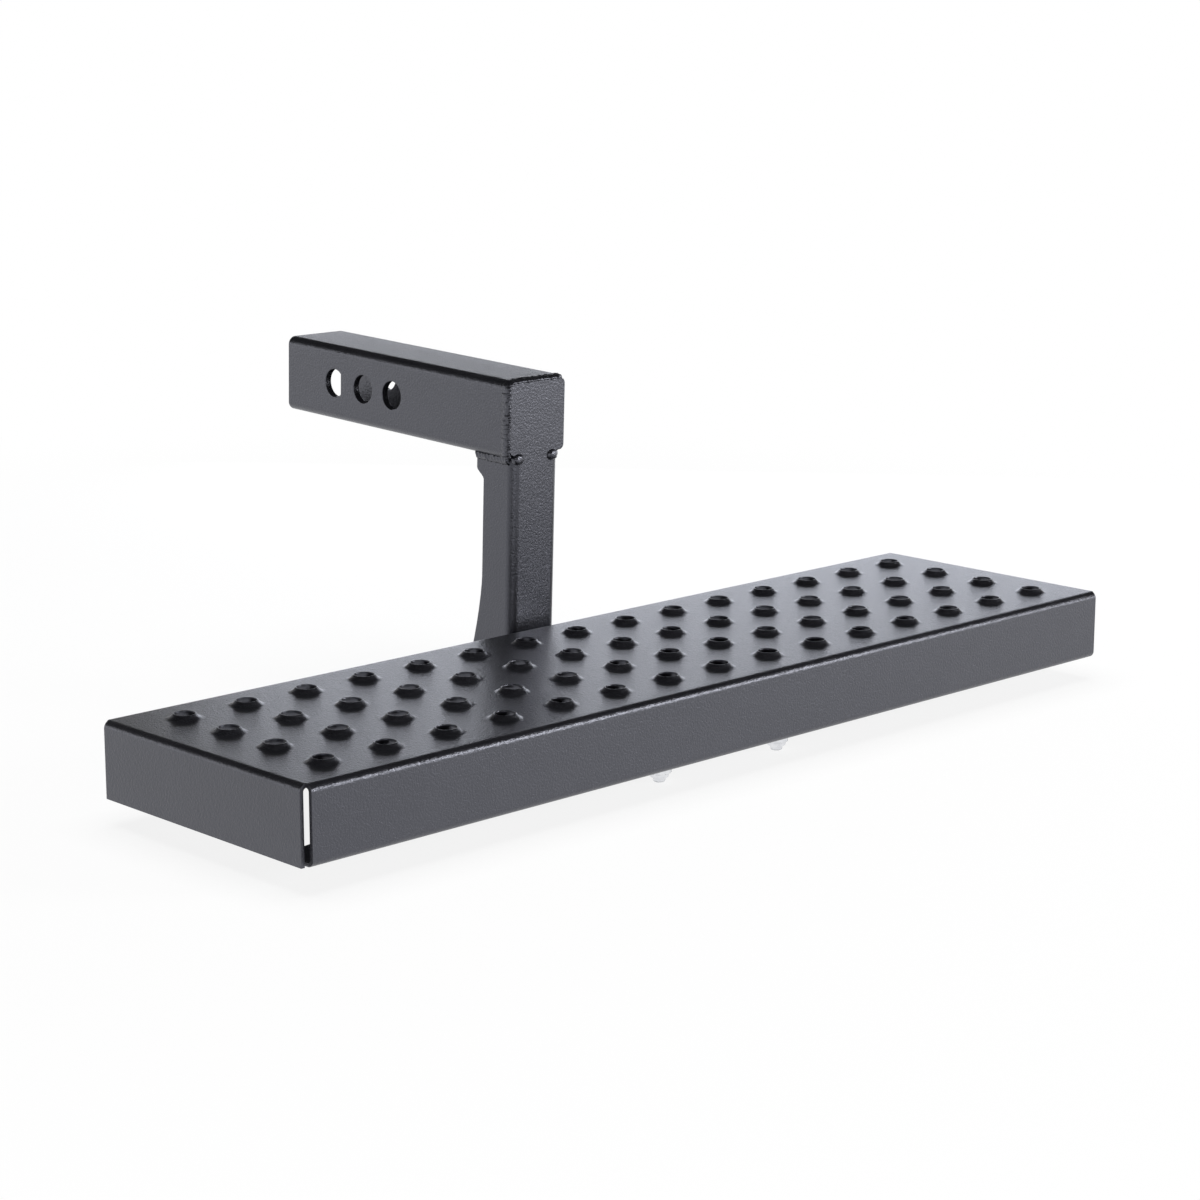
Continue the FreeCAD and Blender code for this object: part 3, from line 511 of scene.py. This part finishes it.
bmesh.ops.delete(bar, geom=faces_at(bar, 0, 0), context="FACES")
bmesh.ops.mirror(
    bar, geom=bar.verts[:] + bar.edges[:] + bar.faces[:], axis="X", merge_dist=MERGE)
bar_middle = (BAR_OPEN_END + BAR_WELDED_END) / 2
bar_half_length = (BAR_OPEN_END - BAR_WELDED_END) / 2
edges = soften(bar, 0.6, keep=lambda edge: max(
    abs(v.co.y - bar_middle) for v in edge.verts) < bar_half_length - 1)
print("softened edges", edges)
finish(bar, "square_bar", "receiver_bar", POWDER_COAT, BRACKET_PLACE)

# %% [markdown]
# ## The upright
# The upright is one sheet of 4 mm steel. Its lower part is a channel; above the two bends the
# sheet runs on as a flat head that closes the bar's end. It could be cut out of a block, but the
# bends keep an even wall when the channel's plan is folded first and then drawn upwards in
# steps.

# %% Channel plan
WEB_FACE, WEB_BACK = -175.5, BAR_WELDED_END
CHANNEL_HALF, CHANNEL_BEND = 20, 6.5
EAR_Y = -140.0
upright = bmesh.new()
web_half = CHANNEL_HALF - CHANNEL_BEND
bend_y = WEB_FACE + CHANNEL_BEND
plan = bmesh.ops.create_grid(upright, x_segments=2, y_segments=1, size=0.5)["verts"]
bmesh.ops.scale(upright, vec=(web_half * 2, WEB_BACK - WEB_FACE, 1), verts=plan)
bmesh.ops.translate(upright, vec=(0, (WEB_FACE + WEB_BACK) / 2, 0), verts=plan)
for side in (-1, 1):
    end = [edge for edge in upright.edges
           if all(abs(v.co.x - web_half * side) < SAME_PLACE for v in edge.verts)]
    last = bmesh.ops.spin(
        upright, geom=end, cent=(web_half * side, bend_y, 0), axis=(0, 0, 1),
        angle=math.radians(90 * side), steps=8, use_duplicate=False)["geom_last"]
    rim = [part for part in last if isinstance(part, bmesh.types.BMEdge)]
    tips = extend(upright, rim)[0]
    bmesh.ops.translate(upright, vec=(0, EAR_Y - bend_y, 0), verts=tips)
print("channel plan faces", len(upright.faces))

# %% [markdown]
# The plan is laid on the level foot plate and drawn upwards, layer by layer. At each layer the
# flanges' back edge is moved to its own depth: a flare from the foot, a straight run, and an
# ear under the bar.

# %% Draw the channel upwards
FLANGE_TOP = -26.9
RUN_Y, FOOT_Y = -146.5, -130.5
EAR_HEIGHT, EAR_TURN, FLARE_START, FLARE_CURVE = 9, 7, 80, 1.5
HEIGHTS = [-180, -170, -160, -150, -140, -130, -120, -112, -106.9, -80, -60, -45, -42.9,
           -41.5, -40.2, -39.0, -37.8, -36.8, -35.9, -30, FLANGE_TOP]


def level_height(y):
    """Height in the tilted bracket of the level foot plate's top."""
    return (UNDERSIDE_Z - y * math.sin(BAR_TILT)) / math.cos(BAR_TILT)


def flange_back(height):
    """How far back the flanges reach at a height."""
    below_top = FLANGE_TOP - height
    if below_top <= EAR_HEIGHT:
        return EAR_Y
    if below_top < EAR_HEIGHT + EAR_TURN:
        turn = (below_top - EAR_HEIGHT) / EAR_TURN
        return EAR_Y + (RUN_Y - EAR_Y) * turn * turn * (3 - 2 * turn)
    if below_top < FLARE_START:
        return RUN_Y
    low = FLANGE_TOP - level_height(FOOT_Y)
    share = min(1, (below_top - FLARE_START) / (low - FLARE_START))
    return RUN_Y + (FOOT_Y - RUN_Y) * share ** FLARE_CURVE


for v in upright.verts:
    if v.co.y > bend_y + 1:
        v.co.y = FOOT_Y
    v.co.z = level_height(v.co.y)
layer = upright.faces[:]
for height in HEIGHTS:
    made = bmesh.ops.extrude_face_region(upright, geom=whole(layer))["geom"]
    layer = faces_in(made)
    for v in verts_in(made):
        v.co.z = height
        if v.co.y > bend_y + 1:
            v.co.y = flange_back(height)
print("channel faces", len(upright.faces))

# %% [markdown]
# The head grows out of the web between the two bends: first a short neck, then a plate whose
# sides are pulled out to just inside the bar's outline, with rounded corners.

# %% Flat head
HEAD_HALF, HEAD_CORNER = 23.5, 3.6


def at_head_corner(v):
    return (abs(abs(v.co.x) - HEAD_HALF) < SAME_PLACE
            and abs(abs(v.co.z) - HEAD_HALF) < SAME_PLACE)


neck = [f for f in layer if all(abs(v.co.x) < web_half + SAME_PLACE for v in f.verts)]
neck = pull(upright, neck, (0, 0, -HEAD_HALF - FLANGE_TOP))
pull(upright, neck, (0, 0, HEAD_HALF * 2))
for side in (-1, 1):
    cheek = faces_at(upright, 0, web_half * side, lambda c: c.z > -HEAD_HALF)
    pull(upright, cheek, ((HEAD_HALF - web_half) * side, 0, 0))
corners = [edge for edge in upright.edges if all(at_head_corner(v) for v in edge.verts)
           and abs(edge.verts[0].co.z - edge.verts[1].co.z) < SAME_PLACE]
bmesh.ops.bevel(
    upright, geom=corners, offset=HEAD_CORNER, offset_type="OFFSET", segments=5, profile=0.5,
    affect="EDGES", material=-1)
edges = soften(upright, 0.5)
print("rounded corners", len(corners), "softened edges", edges)
finish(upright, "channel_upright", "upright", POWDER_COAT, BRACKET_PLACE)

# %% [markdown]
# ## The foot plate
# The plate is flat, and the CAD solid already has its rounded corners and bolt holes. So it
# stays, and live modifiers do what a file does to a sawn plate: loose triangles are joined,
# flat ones are merged and the edges are broken.

# %% Foot plate
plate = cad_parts["foot_plate"]
plate.modifiers.new("Join", "WELD").merge_threshold = 0.00001
flatten = plate.modifiers.new("Flatten", "DECIMATE")
flatten.decimate_type = "DISSOLVE"
flatten.angle_limit = math.radians(1)
broken = plate.modifiers.new("BrokenEdges", "BEVEL")
broken.width = 0.0006
broken.segments = 2
broken.limit_method = "ANGLE"
broken.angle_limit = math.radians(50)
plate.modifiers.new("EvenShading", "WEIGHTED_NORMAL").keep_sharp = True
plate.data.materials.clear()
plate.data.materials.append(POWDER_COAT)
print("foot plate keeps its solid")

# %% [markdown]
# ## Bolts, washers and nuts
# Small steel parts are turned or cold headed, so each starts as a circle or a hexagon. A
# hexagon's corners are cut by a cone: here every ring of the hexagon is limited to a radius,
# and the rings near a cut end have a smaller one. A bore is three more rings: inwards, back
# through the hexagon, and out to the first ring again.

# %% Helpers for turned parts
HEX_FLAT, HEX_PER_SIDE = 6.5, 6
CONE_TIP, CONE_SHOULDER = HEX_FLAT - 0.25, HEX_FLAT + 0.45
CONE_STEPS = (0.35, 0.8)


def close_ring(bm, ring):
    """Close a ring of edges with one face."""
    bmesh.ops.contextual_create(bm, geom=ring)


def turned(bm, profile, segments, place):
    """Turn a profile of (radius, height) points about the vertical axis; ends are closed."""
    radius, height = profile[0]
    made_verts, first_ring = circle_at(bm, radius, segments, (0, 0, height))
    ring = first_ring
    for before, after in zip(profile, profile[1:]):
        verts, ring = next_ring(bm, ring, before, after)
        made_verts += verts
    if profile[0] != profile[-1]:
        close_ring(bm, first_ring)
        close_ring(bm, ring)
    bmesh.ops.transform(bm, matrix=place, verts=made_verts)


def chamfered_hexagon(bm, low, high, cone_low, cone_high, place, bore=None):
    """A hexagon of 13 mm across flats, whose corners are cut back by a cone at its ends."""
    corner = HEX_FLAT / math.cos(math.radians(30))
    cone, plain = [CONE_TIP, CONE_SHOULDER, corner], [corner] * 3
    limits = (cone if cone_low else plain) + (cone[::-1] if cone_high else plain)
    heights = [low, *(low + step for step in CONE_STEPS),
               *(high - step for step in reversed(CONE_STEPS)), high]
    steps = list(zip(heights, limits))
    if bore:
        steps += [(high, bore), (low, bore), steps[0]]
    verts, first_ring = circle_at(bm, 1, 6 * HEX_PER_SIDE, (0, 0, 0))
    ring, made_verts = first_ring, list(verts)
    for number, (height, limit) in enumerate(steps):
        if number:
            verts, ring = extend(bm, ring)
            made_verts += verts
        for v in verts:
            direction = Vector((v.co.x, v.co.y, 0)).normalized()
            angle = math.atan2(direction.y, direction.x) % math.radians(60)
            span = min(HEX_FLAT / math.cos(angle - math.radians(30)), limit)
            v.co = direction * span + Vector((0, 0, height))
    if not bore:
        close_ring(bm, first_ring)
        close_ring(bm, ring)
    bmesh.ops.transform(bm, matrix=place, verts=made_verts)


# %% [markdown]
# A bolt comes from above, through a washer, the lip and the foot plate. Only its end shows, so
# the thread is made as fine rings: at this size a ring and a helix look the same. Each bolt is
# turned a little further than the last, as a spanner leaves them.

# %% Bolts
HEAD_SEAT, HEAD_HEIGHT, BOLT_END, BOLT_TURN = 4.1, 5.3, -15.9, 17
THREAD_PITCH, THREAD_ROOT, THREAD_CREST, THREAD_START = 1.25, 3.5, 3.95, HEAD_SEAT - 5
BOLT_TIP = [(3.7, BOLT_END + 0.5), (3.25, BOLT_END)]
BOLT_PLACES = [Matrix.Translation(middle) for middle in BOLT_MIDDLES]
thread = [(THREAD_CREST, HEAD_SEAT)]
height = THREAD_START
while height > BOLT_END + 1.0:
    thread += [(THREAD_CREST, height), (THREAD_ROOT, height - THREAD_PITCH / 2)]
    height -= THREAD_PITCH
thread += BOLT_TIP
bolts = bmesh.new()
for number, place in enumerate(BOLT_PLACES):
    spun = place @ Matrix.Rotation(math.radians(BOLT_TURN * number), 4, "Z")
    turned(bolts, thread, 28, spun)
    chamfered_hexagon(bolts, HEAD_SEAT, HEAD_SEAT + HEAD_HEIGHT, False, True, spun)
finish(bolts, "hex_head_bolts", "hex_bolts", ZINC, PAN_PLACE)

# %% [markdown]
# A washer is punched from strip, which rounds its rim a little. It is turned from a closed
# profile, so its hole needs no cut.

# %% Washers
WASHER_PROFILE = [(4.2, 2.5), (4.2, 4.1), (7.7, 4.1), (8.0, 3.8), (8.0, 2.8), (7.7, 2.5),
                  (4.2, 2.5)]
washers = bmesh.new()
for place in BOLT_PLACES:
    turned(washers, WASHER_PROFILE, 40, place)
finish(washers, "flat_washers", "head_washers", ZINC, PAN_PLACE)

# %% [markdown]
# The lock nut is a hexagon with a rounded collar rolled over a nylon ring, which grips the
# thread. The collar runs on as a sleeve inside the hexagon, so the two are turned apart and
# overlap.

# %% Lock nuts and their rings
NUT_TOP, NUT_HEX_END, NUT_END = -5, -10.6, -13
NUT_TURN, NUT_FIRST_TURN = 23, 10
COLLAR_PROFILE = [(4.0, NUT_TOP - 0.02), (6.2, NUT_TOP - 0.02), (6.2, NUT_HEX_END),
                  (6.0, NUT_HEX_END - 0.1), (5.95, NUT_END + 0.9), (5.75, NUT_END + 0.4),
                  (5.4, NUT_END + 0.08), (5.2, NUT_END), (5.2, NUT_END + 2.4),
                  (4.0, NUT_END + 2.4), (4.0, NUT_TOP - 0.02)]
RING_PROFILE = [(4.0, NUT_END + 2.38), (5.18, NUT_END + 2.38), (5.18, NUT_END + 0.05),
                (4.2, NUT_END + 0.05), (4.0, NUT_END + 0.25), (4.0, NUT_END + 2.38)]
nuts, rings = bmesh.new(), bmesh.new()
for number, place in enumerate(BOLT_PLACES):
    turn = math.radians(NUT_TURN * number + NUT_FIRST_TURN)
    spun = place @ Matrix.Rotation(turn, 4, "Z")
    chamfered_hexagon(nuts, NUT_HEX_END, NUT_TOP, True, True, spun, bore=5.5)
    turned(nuts, COLLAR_PROFILE, 36, spun)
    turned(rings, RING_PROFILE, 36, place)
finish(nuts, "nylon_lock_nuts", "lock_nuts", ZINC, PAN_PLACE)
finish(rings, "nylon_rings", "nut_inserts", NYLON, PAN_PLACE)

# %% [markdown]
# ## Weld beads
# A bead is a row of small pools of metal that froze one after the other, then took the same
# paint. It could be a smooth tube, but its ripples are what makes it a weld. A section is
# carried along the seam in small steps; afterwards each point is moved in or out by a wave that
# bows along the seam, and by a seeded noise that makes the row uneven.

# %% Bead
BEAD_SIDES, BEAD_STEP, BEAD_TAPER, WAVE_BOW = 16, 0.7, 0.6, 0.35
WAVE_SHARE, ROUGH_SHARE, FINE_SHARE = 0.45, 1.2, 0.5


def frame_of(point, along, outwards):
    """Axes of one section: across the seam, outwards and along it."""
    along, outwards = Vector(along).normalized(), Vector(outwards).normalized()
    across = outwards.cross(along)
    grid = Matrix((across, outwards, along)).transposed().to_4x4()
    return Matrix.Translation(point) @ grid


def straight(start, end, outwards):
    """Stations along a straight seam."""
    start, end = Vector(start), Vector(end)
    count = max(2, round((end - start).length / BEAD_STEP))
    return [frame_of(start.lerp(end, n / count), end - start, outwards)
            for n in range(count + 1)]


def bead(bm, stations, half_width, half_height, ripple, pitch, seed):
    """Carry an oval section through the stations and roughen it into weld metal."""
    along = bm.verts.layers.float.new("along")
    across = bm.verts.layers.float.new("across")
    verts, first_ring = circle_at(bm, 1, BEAD_SIDES, (0, 0, 0))
    bmesh.ops.scale(
        bm, vec=(half_width * BEAD_TAPER, half_height * BEAD_TAPER, 1), verts=verts)
    bmesh.ops.transform(bm, matrix=stations[0], verts=verts)
    ring, length = first_ring, 0.0
    for number in range(1, len(stations)):
        verts, ring = extend(bm, ring)
        step = stations[number] @ stations[number - 1].inverted()
        length += (stations[number].translation - stations[number - 1].translation).length
        bmesh.ops.transform(bm, matrix=step, verts=verts)
        swell = {1: 1 / BEAD_TAPER, len(stations) - 1: BEAD_TAPER}.get(number, 1)
        back = stations[number].inverted()
        bmesh.ops.scale(bm, vec=(swell, swell, 1), space=back, verts=verts)
        for v in verts:
            v[along] = length
            v[across] = (back @ v.co).x / half_width
    close_ring(bm, first_ring)
    close_ring(bm, ring)
    bmesh.ops.recalc_face_normals(bm, faces=bm.faces)
    bm.normal_update()
    for v in bm.verts:
        wave = math.sin(math.tau * (v[along] / pitch - WAVE_BOW * v[across] ** 2))
        rough = noise.noise(Vector((v[along] * 0.45, v[across] * 1.3, seed)))
        fine = noise.noise(Vector((v[along] * 1.4, v[across] * 3, seed + 7)))
        v.co += v.normal * (
            ripple * (WAVE_SHARE * wave + ROUGH_SHARE * rough + FINE_SHARE * fine))


def finish_weld(bm, name, node, place):
    """A weld takes the coat of the whole step and keeps its round shading."""
    finish(bm, name, node, POWDER_COAT, place, flat_faces=False)


# %% [markdown]
# The first bead joins the bar's end to the upright's head. It climbs the left side, runs round
# both upper corners and goes down the right side, where it moves off the head towards the bar
# along its whole leg.

# %% Bead round the bar's end
SEAM_Y, LEFT_LEG_END, RIGHT_LEG_END = -171.6, -25, -22
CORNER_STEPS = 9
MOVE_OFF, MOVE_LENGTH = 4, 6
crest = BAR_HALF - 1.4
stations = straight(
    (-crest, SEAM_Y, LEFT_LEG_END), (-crest, SEAM_Y, bar_flat), (-1, 0, 0))
for side, start_angle in ((-1, 180), (1, 90)):
    for number in range(1, CORNER_STEPS):
        angle = math.radians(start_angle - number * 90 / CORNER_STEPS)
        outwards = Vector((math.cos(angle), 0, math.sin(angle)))
        middle = Vector((bar_flat * side, SEAM_Y, bar_flat))
        turn_way = Vector((math.sin(angle), 0, -math.cos(angle)))
        stations.append(frame_of(middle + outwards * (crest - bar_flat), turn_way, outwards))
    if side < 0:
        stations += straight((-bar_flat, SEAM_Y, crest), (bar_flat, SEAM_Y, crest), (0, 0, 1))
stations += straight((crest, SEAM_Y, bar_flat), (crest, SEAM_Y, RIGHT_LEG_END), (1, 0, 0))
for station in stations:
    into_leg = max(0, station.translation.x - crest + MOVE_LENGTH)
    station.translation.y += MOVE_OFF * into_leg / MOVE_LENGTH
end_bead = bmesh.new()
bead(end_bead, stations, half_width=4.3, half_height=1.8, ripple=0.55, pitch=2.9, seed=3.0)
finish_weld(end_bead, "bead_round_bar_end", "bar_end_weld", BRACKET_PLACE)

# %% [markdown]
# A notch is cut beside each bend, where the head begins, and is then filled with weld. The plug
# is a ball, made fuller at its front and dented by a noise.

# %% Plug in a notch
PLUG_SIZE = (4.5, 3.2, 3.7)
PLUG_FULLNESS, PLUG_DENTS = 0.6, 0.1
PLUG_X, PLUG_SHIFT, PLUG_Z = 14.7, -1.5, -BAR_HALF - 0.6


def notch_plug(side):
    plug = bmesh.new()
    bmesh.ops.create_uvsphere(plug, u_segments=24, v_segments=14, radius=1)
    bmesh.ops.scale(plug, vec=PLUG_SIZE, verts=plug.verts)
    for v in plug.verts:
        depth = abs(v.co.y) / PLUG_SIZE[1]
        v.co.y = math.copysign(PLUG_SIZE[1] * depth ** PLUG_FULLNESS, v.co.y)
        v.co *= 1 + PLUG_DENTS * noise.noise(v.co * 0.6 + Vector((side * 5.0, 2.0, 1.0)))
    bmesh.ops.translate(
        plug, vec=(PLUG_X * side + PLUG_SHIFT, WEB_FACE + 1.1, PLUG_Z), verts=plug.verts)
    return plug


# %% [markdown]
# Two more beads lie in the corners between the bar's underside and the flanges. They lean
# outwards, as a fillet does. Each is followed by the plug of its side.

# %% Beads and plugs under the bar
SEAM_X, SEAM_Z, SEAM_END_Y = 19.5, -27.2, -140.4
for side, word in ((-1, "left"), (1, "right")):
    seam = bmesh.new()
    lean = Vector((0.75 * side, 0, -0.65))
    bead(seam, straight((SEAM_X * side, BAR_WELDED_END, SEAM_Z),
                        (SEAM_X * side, SEAM_END_Y, SEAM_Z), lean),
         half_width=3.8, half_height=2.8, ripple=0.4, pitch=2.8, seed=11.0 + side)
    finish_weld(seam, "seam_bead_" + word, "seam_weld_" + word, BRACKET_PLACE)
    finish_weld(notch_plug(side), "notch_plug_" + word, "relief_weld_" + word, BRACKET_PLACE)

# %% [markdown]
# Three level fillets hold the upright's foot to the plate: one across the web and one along
# each flange. The pan hides them, so they are shorter on detail but the same kind of bead.

# %% Fillets at the foot
FOOT_FACE_Y, FILLET_OUT = -169.04, 0.6
FILLET = {"half_width": 3.4, "half_height": 2.2, "ripple": 0.3, "pitch": 2.6}
fillet_z = UNDERSIDE_Z + FILLET_OUT
web_y = FOOT_FACE_Y - FILLET_OUT
fillet = bmesh.new()
bead(fillet, straight((-web_half, web_y, fillet_z), (web_half, web_y, fillet_z), (0, -1, 1)),
     seed=21.0, **FILLET)
finish_weld(fillet, "foot_bead_front", "foot_weld_front", Matrix.Identity(4))
for side, word in ((-1, "left"), (1, "right")):
    fillet = bmesh.new()
    edge_x = (CHANNEL_HALF + FILLET_OUT) * side
    bead(fillet, straight((edge_x, FOOT_FACE_Y + 6.5, fillet_z),
                          (edge_x, FOOT_FACE_Y + 44.4, fillet_z), (side, 0, 1)),
         seed=31.0 + side, **FILLET)
    finish_weld(fillet, "foot_bead_" + word, "foot_weld_" + word, Matrix.Identity(4))

# %% [markdown]
# ## The floor
# The step stands on a pale floor in a white studio. The floor shows as white to the camera, in
# mirrors and through clear surfaces, while the light that it sends to the object stays at a
# plain level. Close to the step it keeps a little of its own shade, so a faint shadow stays.

# %% Floor
FLOOR_HEIGHT = (UNDERSIDE_Z + BOLT_END) * MM
NEAR_SHARE, NEAR_EDGE, FAR_EDGE = 0.86, 0.5, 1.1


def grey(tone):
    return (tone, tone, tone, 1)


floor_mesh = bmesh.new()
bmesh.ops.create_circle(floor_mesh, cap_ends=True, radius=6, segments=96)
bmesh.ops.translate(floor_mesh, vec=(0, 0, FLOOR_HEIGHT), verts=floor_mesh.verts)
floor_data = bpy.data.meshes.new("floor")
floor_mesh.to_mesh(floor_data)
floor_mesh.free()
floor = bpy.data.objects.new("floor", floor_data)
bpy.context.scene.collection.objects.link(floor)
floor_material = bpy.data.materials.new("pale_floor")
floor_material.use_nodes = True
nodes, links = floor_material.node_tree.nodes, floor_material.node_tree.links
paint = nodes["Principled BSDF"]
paint.inputs["Base Color"].default_value = grey(0.95)
paint.inputs["Roughness"].default_value = 0.9
paint.inputs["Specular IOR Level"].default_value = 0.1
seen = nodes.new("ShaderNodeLightPath")
either = nodes.new("ShaderNodeMath")
either.operation = "MAXIMUM"
either_clear = nodes.new("ShaderNodeMath")
either_clear.operation = "MAXIMUM"
glow = nodes.new("ShaderNodeEmission")
glow.inputs["Color"].default_value = grey(1)
place = nodes.new("ShaderNodeTexCoord")
distance = nodes.new("ShaderNodeVectorMath")
distance.operation = "LENGTH"
fade = nodes.new("ShaderNodeMapRange")
fade.interpolation_type = "SMOOTHSTEP"
fade.inputs["From Min"].default_value = NEAR_EDGE
fade.inputs["From Max"].default_value = FAR_EDGE
fade.inputs["To Min"].default_value = NEAR_SHARE
fade.inputs["To Max"].default_value = 1.0
share = nodes.new("ShaderNodeMath")
share.operation = "MULTIPLY"
blend = nodes.new("ShaderNodeMixShader")
links.new(seen.outputs["Is Camera Ray"], either.inputs[0])
links.new(seen.outputs["Is Glossy Ray"], either.inputs[1])
links.new(either.outputs[0], either_clear.inputs[0])
links.new(seen.outputs["Is Transmission Ray"], either_clear.inputs[1])
links.new(either_clear.outputs[0], share.inputs[0])
links.new(place.outputs["Object"], distance.inputs[0])
links.new(distance.outputs["Value"], fade.inputs["Value"])
links.new(fade.outputs["Result"], share.inputs[1])
links.new(share.outputs[0], blend.inputs["Fac"])
links.new(paint.outputs["BSDF"], blend.inputs[1])
links.new(glow.outputs["Emission"], blend.inputs[2])
links.new(blend.outputs["Shader"], nodes["Material Output"].inputs["Surface"])
floor_data.materials.append(floor_material)
print("floor at", FLOOR_HEIGHT)

# %% [markdown]
# ## The surroundings
# Satin black steel shows little of its own colour: it shows what it mirrors. So the studio is
# bright low down and dim overhead. The camera alone sees it as plain white.

# %% Surroundings
SKY_TONES = ((0.08, 0.8), (0.2, 0.35), (0.35, 0.08))  # height, from level 0 to overhead 1
world = bpy.data.worlds.new("studio")
bpy.context.scene.world = world
world.use_nodes = True
nodes, links = world.node_tree.nodes, world.node_tree.links
nodes.clear()
direction = nodes.new("ShaderNodeTexCoord")
split = nodes.new("ShaderNodeSeparateXYZ")
height_ramp = nodes.new("ShaderNodeValToRGB")
height_ramp.color_ramp.interpolation = "EASE"
ramp = height_ramp.color_ramp.elements
ramp[0].position, ramp[0].color = 0.0, grey(1)
ramp[1].position, ramp[1].color = 0.6, grey(0.015)
for position, tone in SKY_TONES:
    ramp.new(position).color = grey(tone)
seen = nodes.new("ShaderNodeLightPath")
background = nodes.new("ShaderNodeBackground")
white = nodes.new("ShaderNodeBackground")
white.inputs["Color"].default_value = grey(1)
white.inputs["Strength"].default_value = 1
blend = nodes.new("ShaderNodeMixShader")
output = nodes.new("ShaderNodeOutputWorld")
links.new(direction.outputs["Generated"], split.inputs["Vector"])
links.new(split.outputs["Z"], height_ramp.inputs["Fac"])
links.new(height_ramp.outputs["Color"], background.inputs["Color"])
links.new(seen.outputs["Is Camera Ray"], blend.inputs["Fac"])
links.new(background.outputs["Background"], blend.inputs[1])
links.new(white.outputs["Background"], blend.inputs[2])
links.new(blend.outputs["Shader"], output.inputs["Surface"])
print("sky tones", len(ramp))

# %% [markdown]
# ## Soft boxes
# Two soft boxes stand in front on the right, the higher one for the bright line along the front
# bend. One stands near the camera and two stand behind, of which the right one is the pale
# strip that the tread mirrors. The one overhead only lights, and is mirrored nowhere.

# %% Soft boxes
LAMP_TARGET = Vector((0, -0.22, -0.12))


def soft_box(name, azimuth, elevation, distance, width, height, brightness, mirrored=True,
             tint=(1, 1, 1)):
    """A rectangular lamp aimed at the step. Azimuth 0 is beyond +Y and 90 beyond +X; seen in a
    mirror, a brightness of 1 would be plain white."""
    lamp = bpy.data.lights.new(name, "AREA")
    lamp.shape = "RECTANGLE"
    lamp.size, lamp.size_y = width, height
    lamp.energy = brightness * math.pi * width * height
    lamp.color = tint
    box = bpy.data.objects.new(name, lamp)
    bpy.context.scene.collection.objects.link(box)
    turn, rise = math.radians(azimuth), math.radians(elevation)
    towards = Vector((math.sin(turn) * math.cos(rise), math.cos(turn) * math.cos(rise),
                      math.sin(rise)))
    box.location = LAMP_TARGET + towards * distance
    box.rotation_euler = towards.to_track_quat("Z", "Y").to_euler()
    box.visible_camera = False
    box.visible_glossy = mirrored


# name, azimuth, elevation, distance, width, height, brightness
soft_box("low_front_right", 139, 11, 2.3, 1.2, 0.8, 4.2)
soft_box("high_front", 143, 15, 2.6, 0.7, 0.4, 18)
soft_box("near_camera", 222, 6, 1.9, 0.8, 0.5, 3)
soft_box("low_back_right", 50, 7, 0.95, 0.98, 0.37, 1.75, tint=(0.86, 0.9, 1))
soft_box("low_back_left", 318, 8, 3.0, 1.6, 0.6, 1.6)
soft_box("overhead", 0, 88, 2.6, 2.4, 2.4, 4.0, mirrored=False)

# %% [markdown]
# ## Camera
# The photograph was taken from behind the vehicle's left side and a little above the tread,
# with a fairly long lens, so upright edges stay almost parallel.

# %% Camera
CAMERA_AZIMUTH, CAMERA_ELEVATION = 43.69, 12.45
lens_data = bpy.data.cameras.new("camera")
lens_data.sensor_width = 36
lens_data.lens = 85.95
lens_data.shift_x = 0.01208
lens_data.shift_y = -0.00458
camera = bpy.data.objects.new("camera", lens_data)
bpy.context.scene.collection.objects.link(camera)
camera.location = (-1.23321, -1.51061, 0.2786)
camera.rotation_euler = (math.radians(90 - CAMERA_ELEVATION), 0, math.radians(-CAMERA_AZIMUTH))
bpy.context.scene.camera = camera
bpy.context.scene.view_settings.view_transform = "Standard"
print("camera", camera.name, "lens", round(lens_data.lens, 2))
